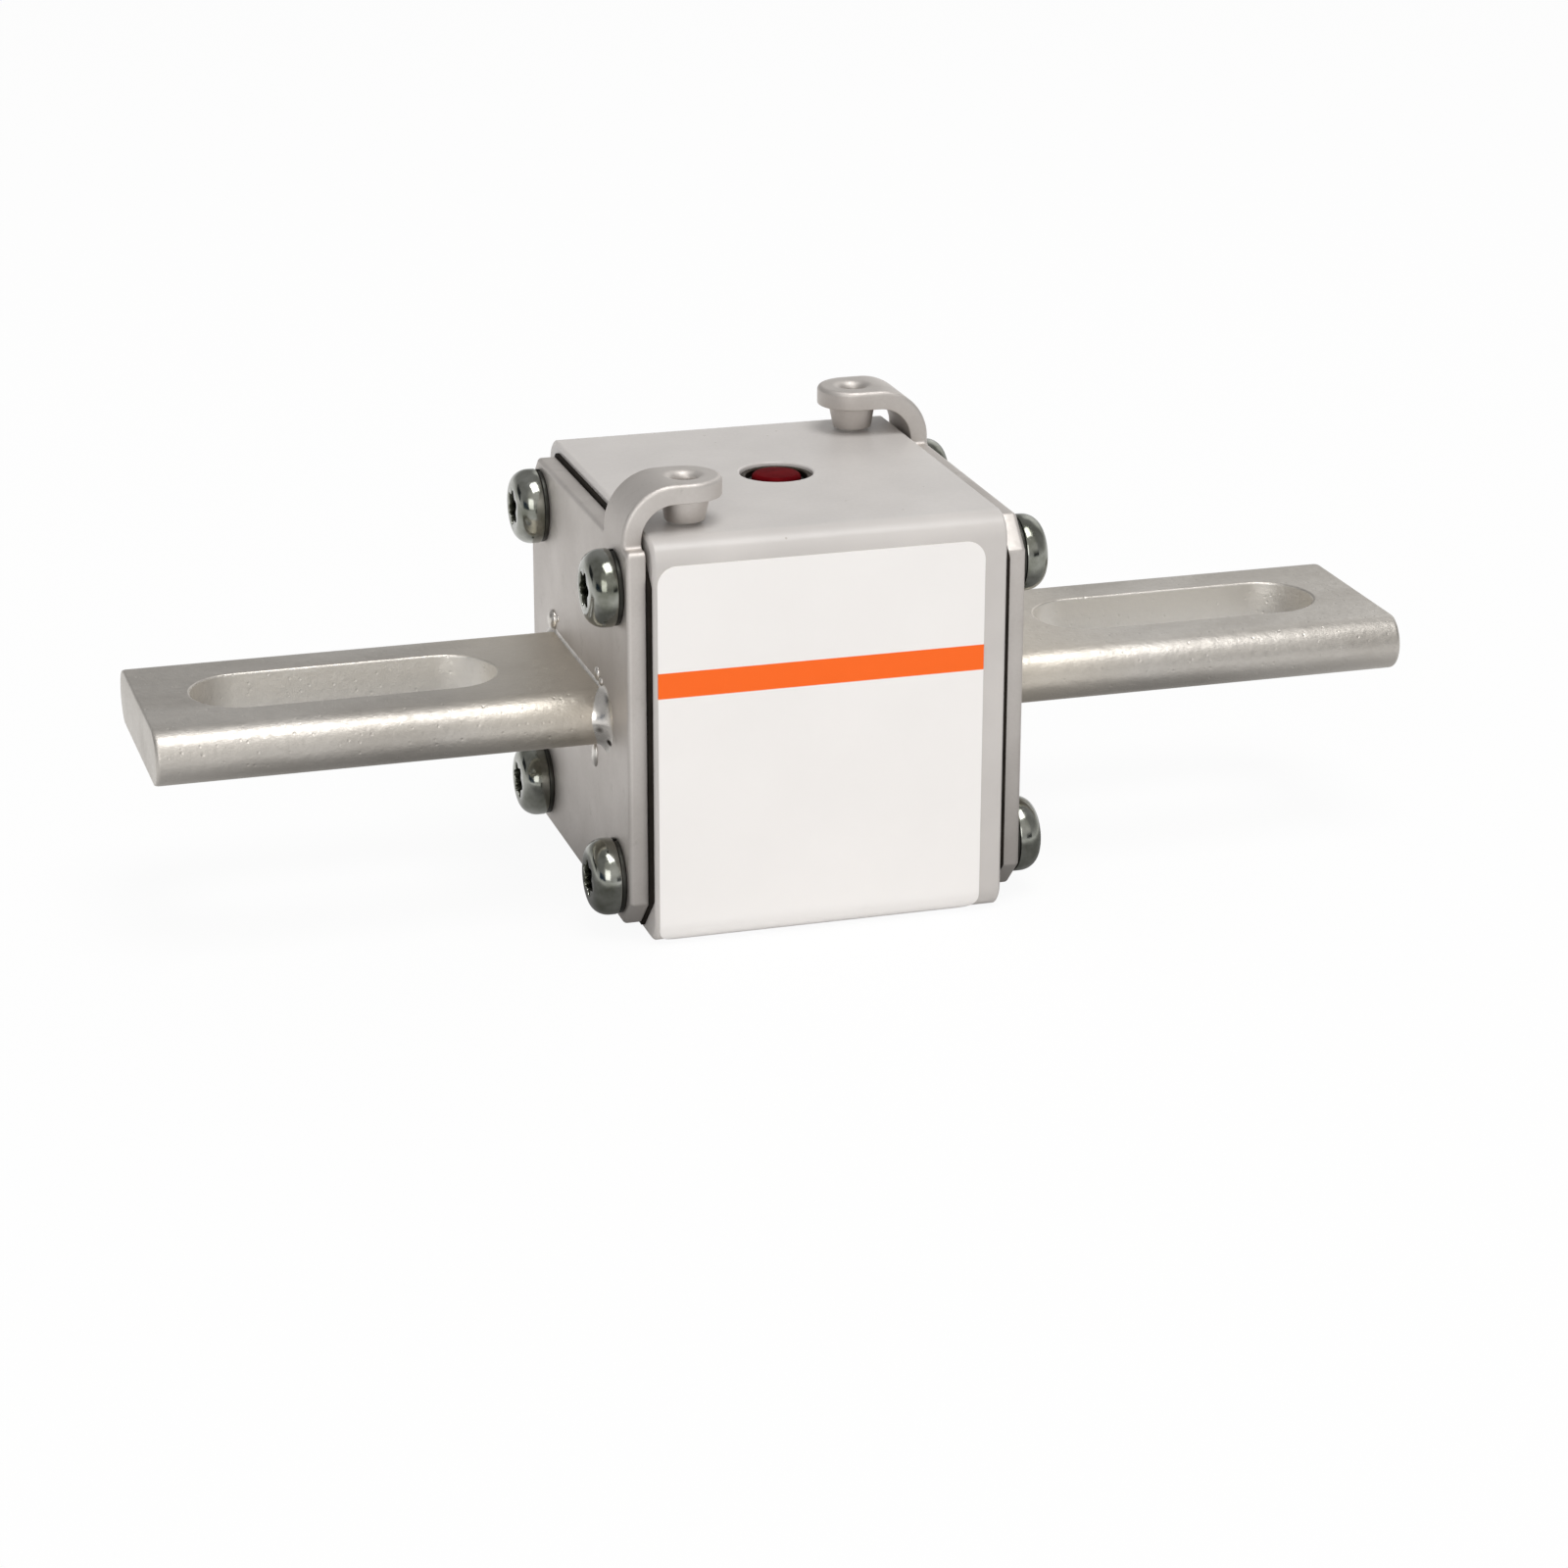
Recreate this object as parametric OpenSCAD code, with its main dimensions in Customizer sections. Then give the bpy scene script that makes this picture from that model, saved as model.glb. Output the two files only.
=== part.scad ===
// High-speed fuse with a square ceramic body, two slotted bolted blades and a pop-up trip indicator.
// The X axis runs along the fuse, from the left blade to the right blade, and Z points up.
// The origin is the centre of the ceramic body, on the middle plane of both blades.

/* [Overall] */
// Length over both blade ends
overall_length = 135; // [130:1:150]

/* [Ceramic body] */
// Width of the body, front to back
body_width = 43; // [38:0.1:46]
// Height of the body
body_height = 43; // [38:0.1:46]
// Length of the body between its two end faces
body_length = 37.4; // [33:0.2:42]
// Radius of the four long edges
body_edge_radius = 2.5; // [1:0.1:3]
// Chamfer of the end rims, measured along the body
rim_chamfer_axial = 0.3; // [0.2:0.1:0.4]
// Chamfer of the end rims, measured across the body
rim_chamfer_radial = 0.4; // [0.2:0.1:0.8]
// Thickness of the wall between the body's side faces and the sand chamber
body_wall = 7.5; // [6.8:0.1:8]
// Radius of the chamber's long corners
chamber_corner_radius = 8; // [7:0.5:9]

/* [End plates] */
// Distance from the body's side faces in to the plate edge
plate_inset = 1; // [0.8:0.05:1.2]
// Thickness of the plate and of its switch lug
plate_thickness = 2; // [1.5:0.1:2.5]
// Cut at 45 degrees across the plain corners
plate_corner_cut = 3.1; // [2.5:0.1:4]
// Rounding of the straight plate edges
plate_edge_radius = 0.5; // [0.2:0.05:0.7]
// Thickness of the sealing gasket
gasket_thickness = 0.4; // [0.3:0.1:0.8]
// Distance from the plate edge in to the gasket edge
gasket_inset = 0.15; // [0.1:0.05:0.6]

/* [Blades] */
// Width of each blade
blade_width = 25; // [22:0.5:27]
// Thickness of each blade, with full-round long edges
blade_thickness = 6; // [5:0.5:7]
// Width of the bolt slot
slot_width = 11; // [9:0.1:12]
// Length of the bolt slot, end to end
slot_length = 32; // [26:0.5:33]
// Metal left between the slot and the blade end
slot_end_margin = 5.5; // [4:0.1:7]
// Radius of the blade's outer corners, seen from above
blade_corner_radius = 0.5; // [0.4:0.1:2]
// Chamfer round the slot and along the blade's end face
blade_edge_chamfer = 0.25; // [0.2:0.05:0.6]
// Size of the brazed fillet where a blade meets its plate
braze_leg = 1.6; // [1:0.1:2]

/* [Screws] */
// Distance from the plate edges in to the screw axes
screw_inset = 5; // [4.8:0.1:5.4]
// Outside diameter of the screw thread
screw_diameter = 4; // [3.6:0.1:4.2]
// Length of the screw below its washer
screw_length = 12; // [10:0.5:13]
// Diameter of the domed head
head_diameter = 8; // [7.4:0.1:8.4]
// Height of the domed head
head_height = 2.4; // [2.2:0.1:2.6]
// Diameter over the points of the six-lobed socket
socket_diameter = 3.9; // [3.5:0.1:4.2]
// Depth of the socket
socket_depth = 1.5; // [1.2:0.1:1.8]
// Outside diameter of the split lock washer
washer_diameter = 7.8; // [7:0.1:8.4]
// Thickness of the split lock washer
washer_thickness = 0.8; // [0.6:0.1:1]
// Outside diameter of the threaded insert in the ceramic
insert_diameter = 5.6; // [5.2:0.1:5.8]
// Length of the threaded insert
insert_length = 10; // [8:0.5:11]

/* [Switch lugs] */
// Width of the lug strip
lug_width = 7.6; // [7:0.1:8.4]
// Height of the lug's top face above the plate edge
lug_rise = 5.95; // [5.8:0.05:7]
// Outer radius of the lug's bend
lug_bend_radius = 5.5; // [4:0.1:5.5]
// Distance from the plate's outer face to the lug hole
lug_hole_reach = 7.5; // [6.5:0.1:9]
// Distance from the plate's side edge in to the lug hole
lug_hole_inset = 5.6; // [5.2:0.1:6.5]
// Tapping diameter of the lug hole
lug_hole_diameter = 2.5; // [2.2:0.1:2.8]
// Rounded mouth of the lug hole
lug_mouth_radius = 0.9; // [0.4:0.1:1]
// Outside diameter of the drawn collar at its free end
collar_diameter = 4.2; // [3.8:0.1:4.6]
// Length of the drawn collar below the strip
collar_length = 2.6; // [2:0.1:2.8]

/* [Trip indicator] */
// Distance of the indicator from the body's centre, along the fuse
indicator_x = 0.7; // [-2:0.1:2]
// Distance of the indicator from the body's centre, front to back
indicator_y = 0.6; // [-3.5:0.1:3.5]
// Diameter of the well in the ceramic
well_diameter = 7.7; // [7.5:0.1:8.4]
// Depth from the body's top face to the housing's rim
housing_recess = 0.4; // [0.2:0.1:0.8]
// Height of the housing, floor included
housing_height = 16.1; // [15.5:0.1:16.5]
// Wall of the housing
housing_wall = 0.55; // [0.4:0.05:0.6]
// Diameter of the red cap
cap_diameter = 5.2; // [4.8:0.1:5.3]
// Depth from the body's top face to the cap's top at rest
cap_recess = 0.5; // [0.2:0.1:1]
// Thickness of the retaining ring
retainer_thickness = 1.4; // [1:0.1:1.8]
// Travel of the striker when the fuse blows
striker_stroke = 6; // [4:0.5:6]
// Thickness of the striker's flange
flange_thickness = 1.2; // [1:0.1:1.4]
// Diameter of the striker's stem
stem_diameter = 2; // [1.8:0.1:2.2]
// Diameter of the spring wire
spring_wire = 0.5; // [0.4:0.05:0.55]
// Turns of the striker spring
spring_turns = 4.5; // [3.5:0.5:4.5]
// Diameter of the holding wire
holding_wire_diameter = 0.4; // [0.3:0.05:0.6]

/* [Fuse elements] */
// Width of each silver strip
strip_width = 16; // [14:0.5:18]
// Thickness of each silver strip
strip_thickness = 0.2; // [0.15:0.05:0.3]
// Distance from the striker's stem down to the uppermost strip
strip_drop = 1.6; // [1.2:0.1:2.5]
// Length of the foot that is welded to the contact block
strip_foot = 2.2; // [1.6:0.1:2.6]
// Distance from the lowest foot to the contact block's lower edge
strip_foot_margin = 0.5; // [0.2:0.1:1]
// Rows of restriction holes along a strip
neck_rows = 5; // [3:1:7]
// Restriction holes in each row
neck_holes = 6; // [4:1:6]
// Metal left between two restriction holes
neck_width = 0.5; // [0.3:0.05:0.8]
// Thickness of the copper contact block behind each plate
block_thickness = 3; // [2:0.1:3.4]
// Distance from the chamber's wall in to the contact block's edge
block_inset = 2.5; // [2:0.1:3]
// Radius of the contact block's corners
block_corner_radius = 4; // [2:0.5:5]

/* [Label] */
// Distance from the body's left end to the label
label_left_margin = 0.4; // [0.4:0.1:3]
// Distance from the label to the body's right end
label_right_margin = 2.5; // [0.4:0.1:3]
// Thickness of the label film
label_thickness = 0.15; // [0.1:0.05:0.25]
// Radius of the label's corners
label_corner_radius = 2; // [1:0.1:3]
// How far the label goes round the bottom edge, in degrees
label_wrap_angle = 60; // [20:5:70]

/* [Fits] */
// Radial gap between a guided piece and its bore
running_clearance = 0.08; // [0.03:0.01:0.1]
// Gap between cemented, screwed or packed pieces
seat_clearance = 0.03; // [0.02:0.01:0.06]
// Radial gap of a screw in the plate and the gasket
screw_clearance = 0.25; // [0.2:0.05:0.4]
// Gap between the moving striker and the pieces that it must not touch
free_clearance = 0.3; // [0.2:0.05:0.4]

/* [Hidden] */
$fn = 64;
eps = 0.01;

body_end = body_length / 2;
body_top = body_height / 2;
plate_inner = body_end + gasket_thickness;
plate_outer = plate_inner + plate_thickness;
plate_width = body_width - 2 * plate_inset;
plate_height = body_height - 2 * plate_inset;
blade_length = overall_length / 2 - plate_outer;
blade_edge_radius = blade_thickness / 2;
slot_centre = overall_length / 2 - slot_end_margin - slot_length / 2;
screw_y = plate_width / 2 - screw_inset;
screw_z = plate_height / 2 - screw_inset;
chamber_width = body_width - 2 * body_wall;
chamber_height = body_height - 2 * body_wall;

lug_root = plate_height / 2 - plate_corner_cut;
lug_top = plate_height / 2 + lug_rise;
lug_inner_bend = lug_bend_radius - plate_thickness;
lug_hole_x = plate_outer - lug_hole_reach;
lug_hole_y = plate_width / 2 - lug_hole_inset;

insert_bore = screw_diameter + 2 * seat_clearance;
insert_hole = insert_diameter + 2 * seat_clearance;
insert_hole_depth = insert_length + 1;

housing_rim = body_top - housing_recess;
housing_bottom = housing_rim - housing_height;
housing_floor = 1;
housing_diameter = well_diameter - 2 * seat_clearance;
housing_bore = housing_diameter - 2 * housing_wall;
retainer_bottom = housing_rim - 0.6 - retainer_thickness;
stop_gap = 0.05;
flange_top = retainer_bottom - striker_stroke - stop_gap;
flange_bottom = flange_top - flange_thickness;
flange_diameter = housing_bore - 2 * running_clearance;
cap_top = body_top - cap_recess;
spigot_diameter = cap_diameter * 0.56;
spigot_height = 4;
wire_drop = 1.4;
wire_height = housing_bottom - wire_drop;
stem_bottom = wire_height - 1;
floor_top = housing_bottom + housing_floor;

block_inner = plate_inner - block_thickness;
block_width = chamber_width - 2 * block_inset;
block_height = chamber_height - 2 * block_inset;
strip_half = block_inner - seat_clearance;
upper_strip_z = stem_bottom - strip_drop;
lower_strip_z = strip_foot + strip_foot_margin - (block_height + strip_thickness) / 2;
neck_pitch = strip_width / neck_holes;
neck_radius = (neck_pitch - neck_width) / 2;
label_top = body_top - body_edge_radius;
label_bottom = -body_top + body_edge_radius * (1 - sin(label_wrap_angle));
label_left = -body_end + label_left_margin;
label_right = body_end - label_right_margin;

ceramic_grey = [0.78, 0.76, 0.74];
silver_plate = [0.75, 0.74, 0.72];

// Outlines

module rounded_outline(w, h, r) {
    square([w - 2 * r, h], center = true);
    square([w, h - 2 * r], center = true);
    for (u = [-1, 1], v = [-1, 1])
        translate([u * (w / 2 - r), v * (h / 2 - r)]) circle(r = r);
}

// A rectangle whose corners are cut by a along the first side and by b along the second
module cut_outline(w, h, a, b) {
    x = w / 2;
    y = h / 2;
    polygon([
        [x - a, -y], [x, -y + b], [x, y - b], [x - a, y],
        [-x + a, y], [-x, y - b], [-x, -y + b], [-x + a, -y]
    ]);
}

module stadium_outline(length, width) {
    square([length - width, width], center = true);
    for (u = [-1, 1]) translate([u * (length - width) / 2, 0]) circle(d = width);
}

// Placing

// An outline drawn in Y and Z, carried along X from the given place
module along_x(from, length) {
    translate([from, 0, 0]) rotate([90, 0, 90]) linear_extrude(length) children();
}

// An outline drawn in X and Z, carried along Y and centred on the XZ plane
module along_y(length) {
    rotate([90, 0, 0]) linear_extrude(length, center = true) children();
}

module turned_to_left() {
    rotate([0, 0, 180]) children();
}

module at_screws() {
    for (u = [-1, 1], v = [-1, 1]) translate([0, u * screw_y, v * screw_z]) children();
}

// A round bar along X
module bar_x(from, length, d) {
    translate([from, 0, 0]) rotate([0, 90, 0]) cylinder(d = d, h = length);
}

module at_indicator(z) {
    translate([indicator_x, indicator_y, z]) children();
}

// Ceramic body

module chamber(from, length, gap = 0) {
    along_x(from, length)
        rounded_outline(chamber_width - 2 * gap, chamber_height - 2 * gap, chamber_corner_radius - gap);
}

module body_block() {
    intersection() {
        along_x(-body_end, body_length) rounded_outline(body_width, body_height, body_edge_radius);
        along_y(body_width + 1)
            cut_outline(body_length, body_height, rim_chamfer_axial, rim_chamfer_radial);
        linear_extrude(body_height + 1, center = true)
            cut_outline(body_length, body_width, rim_chamfer_axial, rim_chamfer_radial);
    }
}

module ceramic_body() {
    color(ceramic_grey) difference() {
        body_block();
        chamber(-body_end - 1, body_length + 2);
        at_indicator(0) cylinder(d = well_diameter, h = body_top + 1);
        for (side = [0, 180]) rotate([0, 0, side]) at_screws()
            bar_x(body_end - insert_hole_depth, insert_hole_depth + 1, insert_hole);
    }
}

// The film covers the front face and follows the bottom edge round
module label() {
    color([0.94, 0.93, 0.91]) intersection() {
        difference() {
            along_x(-body_end, body_length)
                rounded_outline(
                    body_width + 2 * label_thickness,
                    body_height + 2 * label_thickness,
                    body_edge_radius + label_thickness
                );
            along_x(-body_end - 1, body_length + 2)
                rounded_outline(body_width, body_height, body_edge_radius);
        }
        translate([(label_left + label_right) / 2, -body_width / 2, (label_top + label_bottom) / 2])
            along_y(2 * body_edge_radius + 1)
                rounded_outline(label_right - label_left, label_top - label_bottom, label_corner_radius);
    }
}

// End plates with switch lugs

module plate_outline() {
    cut_outline(plate_width, plate_height, plate_corner_cut, plate_corner_cut);
    translate([plate_width / 2 - plate_corner_cut - eps, lug_root - eps])
        square(plate_corner_cut + eps);
}

module plate_blank() {
    depth = 2 * plate_thickness;
    intersection() {
        along_x(plate_inner, plate_thickness) plate_outline();
        translate([plate_outer - plate_thickness, 0, 0]) along_y(plate_width + 1)
            rounded_outline(depth, plate_height, plate_edge_radius);
        translate([plate_outer - plate_thickness, 0, 0])
            linear_extrude(plate_height + 1, center = true)
                rounded_outline(depth, plate_width, plate_edge_radius);
    }
}

// Side view of the lug: up from the plate, round the bend and in over the body
module lug_side_view() {
    bend_x = plate_outer - lug_bend_radius;
    bend_z = lug_top - lug_bend_radius;
    translate([plate_inner, lug_root]) square([plate_thickness, bend_z - lug_root + eps]);
    translate([lug_hole_x, lug_top - plate_thickness])
        square([bend_x - lug_hole_x + eps, plate_thickness]);
    intersection() {
        translate([bend_x, bend_z]) difference() {
            circle(r = lug_bend_radius);
            circle(r = lug_inner_bend);
        }
        translate([bend_x, bend_z]) square(lug_bend_radius + 1);
    }
}

module lug_collar() {
    end_radius = collar_diameter / 2;
    root_radius = end_radius + 0.4;
    flare = 0.5;
    translate([lug_hole_x, lug_hole_y, lug_top - plate_thickness]) rotate_extrude() {
        polygon([[0, -collar_length], [end_radius, -collar_length], [root_radius, eps], [0, eps]]);
        difference() {
            translate([0, -flare]) square([root_radius + flare, flare + eps]);
            translate([root_radius + flare, -flare]) circle(r = flare);
        }
    }
}

// The tapping hole, with a mouth that is rounded as drawing the collar leaves it
module lug_hole() {
    radius = lug_hole_diameter / 2;
    depth = plate_thickness + collar_length;
    translate([lug_hole_x, lug_hole_y, lug_top]) rotate_extrude() {
        translate([0, -depth - 1]) square([radius, depth + 2]);
        difference() {
            translate([0, -lug_mouth_radius]) square([radius + lug_mouth_radius, lug_mouth_radius + 1]);
            translate([radius + lug_mouth_radius, -lug_mouth_radius]) circle(r = lug_mouth_radius);
        }
    }
}

module switch_lug() {
    translate([0, lug_hole_y, 0]) along_y(lug_width) lug_side_view();
    translate([lug_hole_x, lug_hole_y, lug_top - plate_thickness])
        cylinder(d = lug_width, h = plate_thickness);
    lug_collar();
}

module end_plate() {
    color(silver_plate) difference() {
        union() {
            plate_blank();
            switch_lug();
        }
        lug_hole();
        at_screws() bar_x(plate_inner - 1, plate_thickness + 2, screw_diameter + 2 * screw_clearance);
    }
}

module gasket() {
    width = plate_width - 2 * gasket_inset;
    height = plate_height - 2 * gasket_inset;
    color([0.13, 0.11, 0.1]) difference() {
        along_x(body_end, gasket_thickness)
            cut_outline(width, height, plate_corner_cut, plate_corner_cut);
        chamber(body_end - 1, gasket_thickness + 2);
        at_screws() bar_x(body_end - 1, gasket_thickness + 2, screw_diameter + 2 * screw_clearance);
    }
}

// Blades

module slot_cut() {
    reach = blade_thickness / 2 + 1;
    flat = slot_length - slot_width;
    mouth = blade_edge_chamfer + 1;
    translate([slot_centre, 0, 0]) {
        linear_extrude(2 * reach, center = true) stadium_outline(slot_length, slot_width);
        for (face = [0, 180]) rotate([face, 0, 0]) translate([0, 0, reach - mouth]) {
            for (u = [-1, 1]) translate([u * flat / 2, 0, 0])
                cylinder(d1 = slot_width, d2 = slot_width + 2 * mouth, h = mouth);
            rotate([90, 0, 90]) linear_extrude(flat, center = true)
                polygon([
                    [-slot_width / 2, 0], [slot_width / 2, 0],
                    [slot_width / 2 + mouth, mouth], [-slot_width / 2 - mouth, mouth]
                ]);
        }
    }
}

module blade() {
    extra = 4;
    centre = plate_outer + blade_length / 2 - extra / 2;
    length = blade_length + extra;
    color(silver_plate) difference() {
        intersection() {
            along_x(plate_outer, blade_length) stadium_outline(blade_width, blade_thickness);
            translate([centre, 0, 0]) linear_extrude(blade_thickness + 1, center = true)
                rounded_outline(length, blade_width, blade_corner_radius);
            translate([centre, 0, 0]) along_y(blade_width + 1)
                cut_outline(length, blade_thickness, blade_edge_chamfer, blade_edge_chamfer);
        }
        slot_cut();
    }
}

// Section of the braze: out from the blade along one side, out from the plate along the other
module braze_section() {
    toe = 0.12;
    difference() {
        square(braze_leg);
        translate([braze_leg + toe, braze_leg + toe]) circle(r = braze_leg);
    }
}

module blade_braze() {
    flat = blade_width - blade_thickness;
    color([0.7, 0.69, 0.67]) translate([plate_outer, 0, 0]) {
        for (side = [0, 180]) rotate([side, 0, 0]) {
            translate([0, flat / 2, 0]) rotate([0, 90, 0]) rotate_extrude(angle = 180)
                translate([blade_edge_radius, 0]) braze_section();
            translate([0, -flat / 2, blade_edge_radius]) rotate([0, -90, -90])
                linear_extrude(flat) braze_section();
        }
    }
}

// Fasteners

module socket_outline() {
    point = socket_diameter / 2;
    lobe = point * 0.2;
    difference() {
        union() {
            circle(r = point * 0.8);
            for (turn = [0 : 60 : 300]) rotate(turn) translate([point - lobe, 0]) circle(r = lobe);
        }
        for (turn = [30 : 60 : 330]) rotate(turn) translate([point, 0]) circle(r = point * 0.3);
    }
}

// Half of the screw's outline, from its tip up to the top of the domed head
module screw_profile() {
    rim = 0.7;
    crown = head_diameter * 0.27;
    shank = screw_diameter / 2;
    point = 0.6;
    polygon([
        [0, -screw_length], [shank - point, -screw_length], [shank, -screw_length + point],
        [shank, 0], [0, 0]
    ]);
    square([head_diameter / 2, rim]);
    square([crown, head_height]);
    translate([0, rim]) intersection() {
        dome_circle();
        square([head_diameter / 2, head_height - rim]);
    }
}

// The dome's circle passes through the head's rim and its crown
module dome_circle() {
    reach = head_diameter / 2;
    crown = head_diameter * 0.27;
    rise = head_height - 0.7;
    drop = (reach * reach - crown * crown - rise * rise) / (2 * rise);
    translate([0, -drop]) circle(r = sqrt(reach * reach + drop * drop), $fn = 160);
}

module screws() {
    color([0.62, 0.64, 0.62]) at_screws() translate([plate_outer + washer_thickness, 0, 0])
        rotate([0, 90, 0]) difference() {
            rotate_extrude() screw_profile();
            translate([0, 0, head_height - socket_depth]) linear_extrude(socket_depth + 1) socket_outline();
        }
}

module lock_washers() {
    gap = 0.6;
    color([0.2, 0.2, 0.18]) at_screws() difference() {
        bar_x(plate_outer, washer_thickness, washer_diameter);
        bar_x(plate_outer - 1, washer_thickness + 2, screw_diameter + 2 * seat_clearance);
        translate([plate_outer - 1, -gap / 2, 0]) cube([washer_thickness + 2, gap, washer_diameter]);
    }
}

module threaded_inserts() {
    color([0.72, 0.58, 0.3]) at_screws() difference() {
        bar_x(body_end - insert_length, insert_length, insert_diameter);
        bar_x(body_end - insert_length - 1, insert_length + 2, insert_bore);
    }
}

// Inner current path

module contact_block() {
    color([0.72, 0.45, 0.33])
        along_x(block_inner, block_thickness)
            rounded_outline(block_width, block_height, block_corner_radius);
}

// Heights of the strips, from 0 for the upper one to 2 for the lower one
function strip_z(level) = upper_strip_z + (lower_strip_z - upper_strip_z) * level / 2;

module strip_slab(z, gap) {
    thick = strip_thickness + 2 * gap;
    wide = strip_width + 2 * gap;
    translate([0, 0, z]) {
        cube([2 * strip_half, wide, thick], center = true);
        for (side = [-1, 1])
            translate([side * (strip_half - strip_thickness / 2), 0, (strip_thickness - strip_foot) / 2])
                cube([thick, wide, strip_foot + 2 * gap], center = true);
    }
}

// A silver strip with rows of holes that leave narrow necks, and a welded foot at each end
module fuse_strip(level) {
    z = strip_z(level);
    row_pitch = 2 * strip_half / (neck_rows + 1);
    color([0.88, 0.87, 0.85]) difference() {
        strip_slab(z, 0);
        for (row = [1 : neck_rows], hole = [0 : neck_holes])
            translate([
                -strip_half + row * row_pitch,
                (hole - neck_holes / 2) * neck_pitch,
                z - 1
            ]) cylinder(r = neck_radius, h = 2, $fn = 32);
    }
}

module sand_filling() {
    color([0.85, 0.8, 0.7]) difference() {
        chamber(-body_end, body_length, seat_clearance);
        for (side = [0, 180]) rotate([0, 0, side])
            along_x(block_inner - seat_clearance, block_thickness + 1)
                rounded_outline(
                    block_width + 2 * seat_clearance,
                    block_height + 2 * seat_clearance,
                    block_corner_radius
                );
        for (level = [0 : 2]) strip_slab(strip_z(level), seat_clearance);
        at_indicator(housing_bottom - seat_clearance) cylinder(d = well_diameter, h = body_top);
        at_indicator(stem_bottom - free_clearance)
            cylinder(d = stem_diameter + 2 * free_clearance, h = housing_floor + wire_drop + 2);
        translate([0, indicator_y, wire_height])
            bar_x(-body_end, body_length, holding_wire_diameter + 2 * seat_clearance);
    }
}

// Trip indicator

module indicator_housing() {
    color([0.25, 0.22, 0.16]) at_indicator(0) difference() {
        translate([0, 0, housing_bottom]) cylinder(d = housing_diameter, h = housing_height);
        translate([0, 0, floor_top]) cylinder(d = housing_bore, h = housing_height);
        translate([0, 0, housing_bottom - 1])
            cylinder(d = stem_diameter + 2 * running_clearance, h = housing_floor + 2);
    }
}

module indicator_retainer() {
    color([0.12, 0.12, 0.12]) at_indicator(retainer_bottom) difference() {
        cylinder(d = housing_bore - 2 * seat_clearance, h = retainer_thickness);
        translate([0, 0, -1])
            cylinder(d = cap_diameter + 2 * running_clearance, h = retainer_thickness + 2);
    }
}

module indicator_cap() {
    edge = 0.6;
    radius = cap_diameter / 2;
    height = cap_top - flange_top;
    color([0.75, 0.06, 0.07]) at_indicator(flange_top) difference() {
        rotate_extrude() {
            square([radius, height - edge]);
            square([radius - edge, height]);
            translate([radius - edge, height - edge]) intersection() {
                circle(r = edge);
                square(edge);
            }
        }
        translate([0, 0, -1])
            cylinder(d = spigot_diameter + 2 * seat_clearance, h = spigot_height + seat_clearance + 1);
    }
}

module striker() {
    color([0.6, 0.6, 0.6]) at_indicator(0) difference() {
        union() {
            translate([0, 0, stem_bottom])
                cylinder(d = stem_diameter, h = flange_bottom - stem_bottom + eps);
            translate([0, 0, flange_bottom]) cylinder(d = flange_diameter, h = flange_thickness);
            translate([0, 0, flange_top - eps]) cylinder(d = spigot_diameter, h = spigot_height + eps);
        }
        translate([0, 0, wire_height])
            bar_x(-stem_diameter, 2 * stem_diameter, holding_wire_diameter + 2 * running_clearance);
    }
}

// A round wire carried along a helix, with rings of points joined into one closed skin
module coil(radius, wire, length, turns) {
    sides = 10;
    steps = round(turns * 20);
    path = [for (i = [0 : steps]) let (a = 360 * turns * i / steps)
        [radius * cos(a), radius * sin(a), length * i / steps, a]];
    points = [for (p = path, k = [0 : sides - 1]) let (b = 360 * k / sides, out = wire / 2 * cos(b))
        [p[0] + out * cos(p[3]), p[1] + out * sin(p[3]), p[2] + wire / 2 * sin(b)]];
    walls = [for (i = [0 : steps - 1], k = [0 : sides - 1]) let (n = (k + 1) % sides)
        [i * sides + k, i * sides + n, (i + 1) * sides + n, (i + 1) * sides + k]];
    start = [for (k = [sides - 1 : -1 : 0]) k];
    end = [for (k = [0 : sides - 1]) steps * sides + k];
    polyhedron(points, concat([start, end], walls), convexity = 10);
}

module striker_spring() {
    radius = (housing_bore - spring_wire) / 2 - free_clearance;
    length = flange_bottom - floor_top - spring_wire - 2 * seat_clearance;
    color([0.7, 0.7, 0.7]) at_indicator(floor_top + spring_wire / 2 + seat_clearance)
        coil(radius, spring_wire, length, spring_turns);
}

module holding_wire() {
    color([0.55, 0.5, 0.45]) translate([0, indicator_y, wire_height])
        bar_x(-strip_half, 2 * strip_half, holding_wire_diameter);
}

ceramic_body();
label();
turned_to_left() end_plate();  // left_end_plate
end_plate();  // right_end_plate
turned_to_left() blade();  // left_blade
blade();  // right_blade
turned_to_left() blade_braze();  // left_blade_braze
blade_braze();  // right_blade_braze
turned_to_left() gasket();  // left_gasket
gasket();  // right_gasket
turned_to_left() screws();  // left_screws
screws();  // right_screws
turned_to_left() lock_washers();  // left_lock_washers
lock_washers();  // right_lock_washers
turned_to_left() threaded_inserts();  // left_threaded_inserts
threaded_inserts();  // right_threaded_inserts
turned_to_left() contact_block();  // left_contact_block
contact_block();  // right_contact_block
fuse_strip(0);  // upper_fuse_strip
fuse_strip(1);  // middle_fuse_strip
fuse_strip(2);  // lower_fuse_strip
sand_filling();
indicator_housing();
indicator_retainer();
indicator_cap();
striker();
striker_spring();
holding_wire();
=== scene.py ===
"""Looks of a high-speed fuse with a square ceramic body, two slotted blades and a pop-up indicator.

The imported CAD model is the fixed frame. Lengths are in millimetres in the model's own frame: X runs
along the fuse, Y points to the back and Z up. The outer pieces are rebuilt here as numpy surfaces,
and the pieces inside keep their CAD meshes and get procedural finishes.
"""

from __future__ import annotations

import logging
import math
from collections.abc import Callable
from dataclasses import dataclass, field
from enum import Enum

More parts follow.
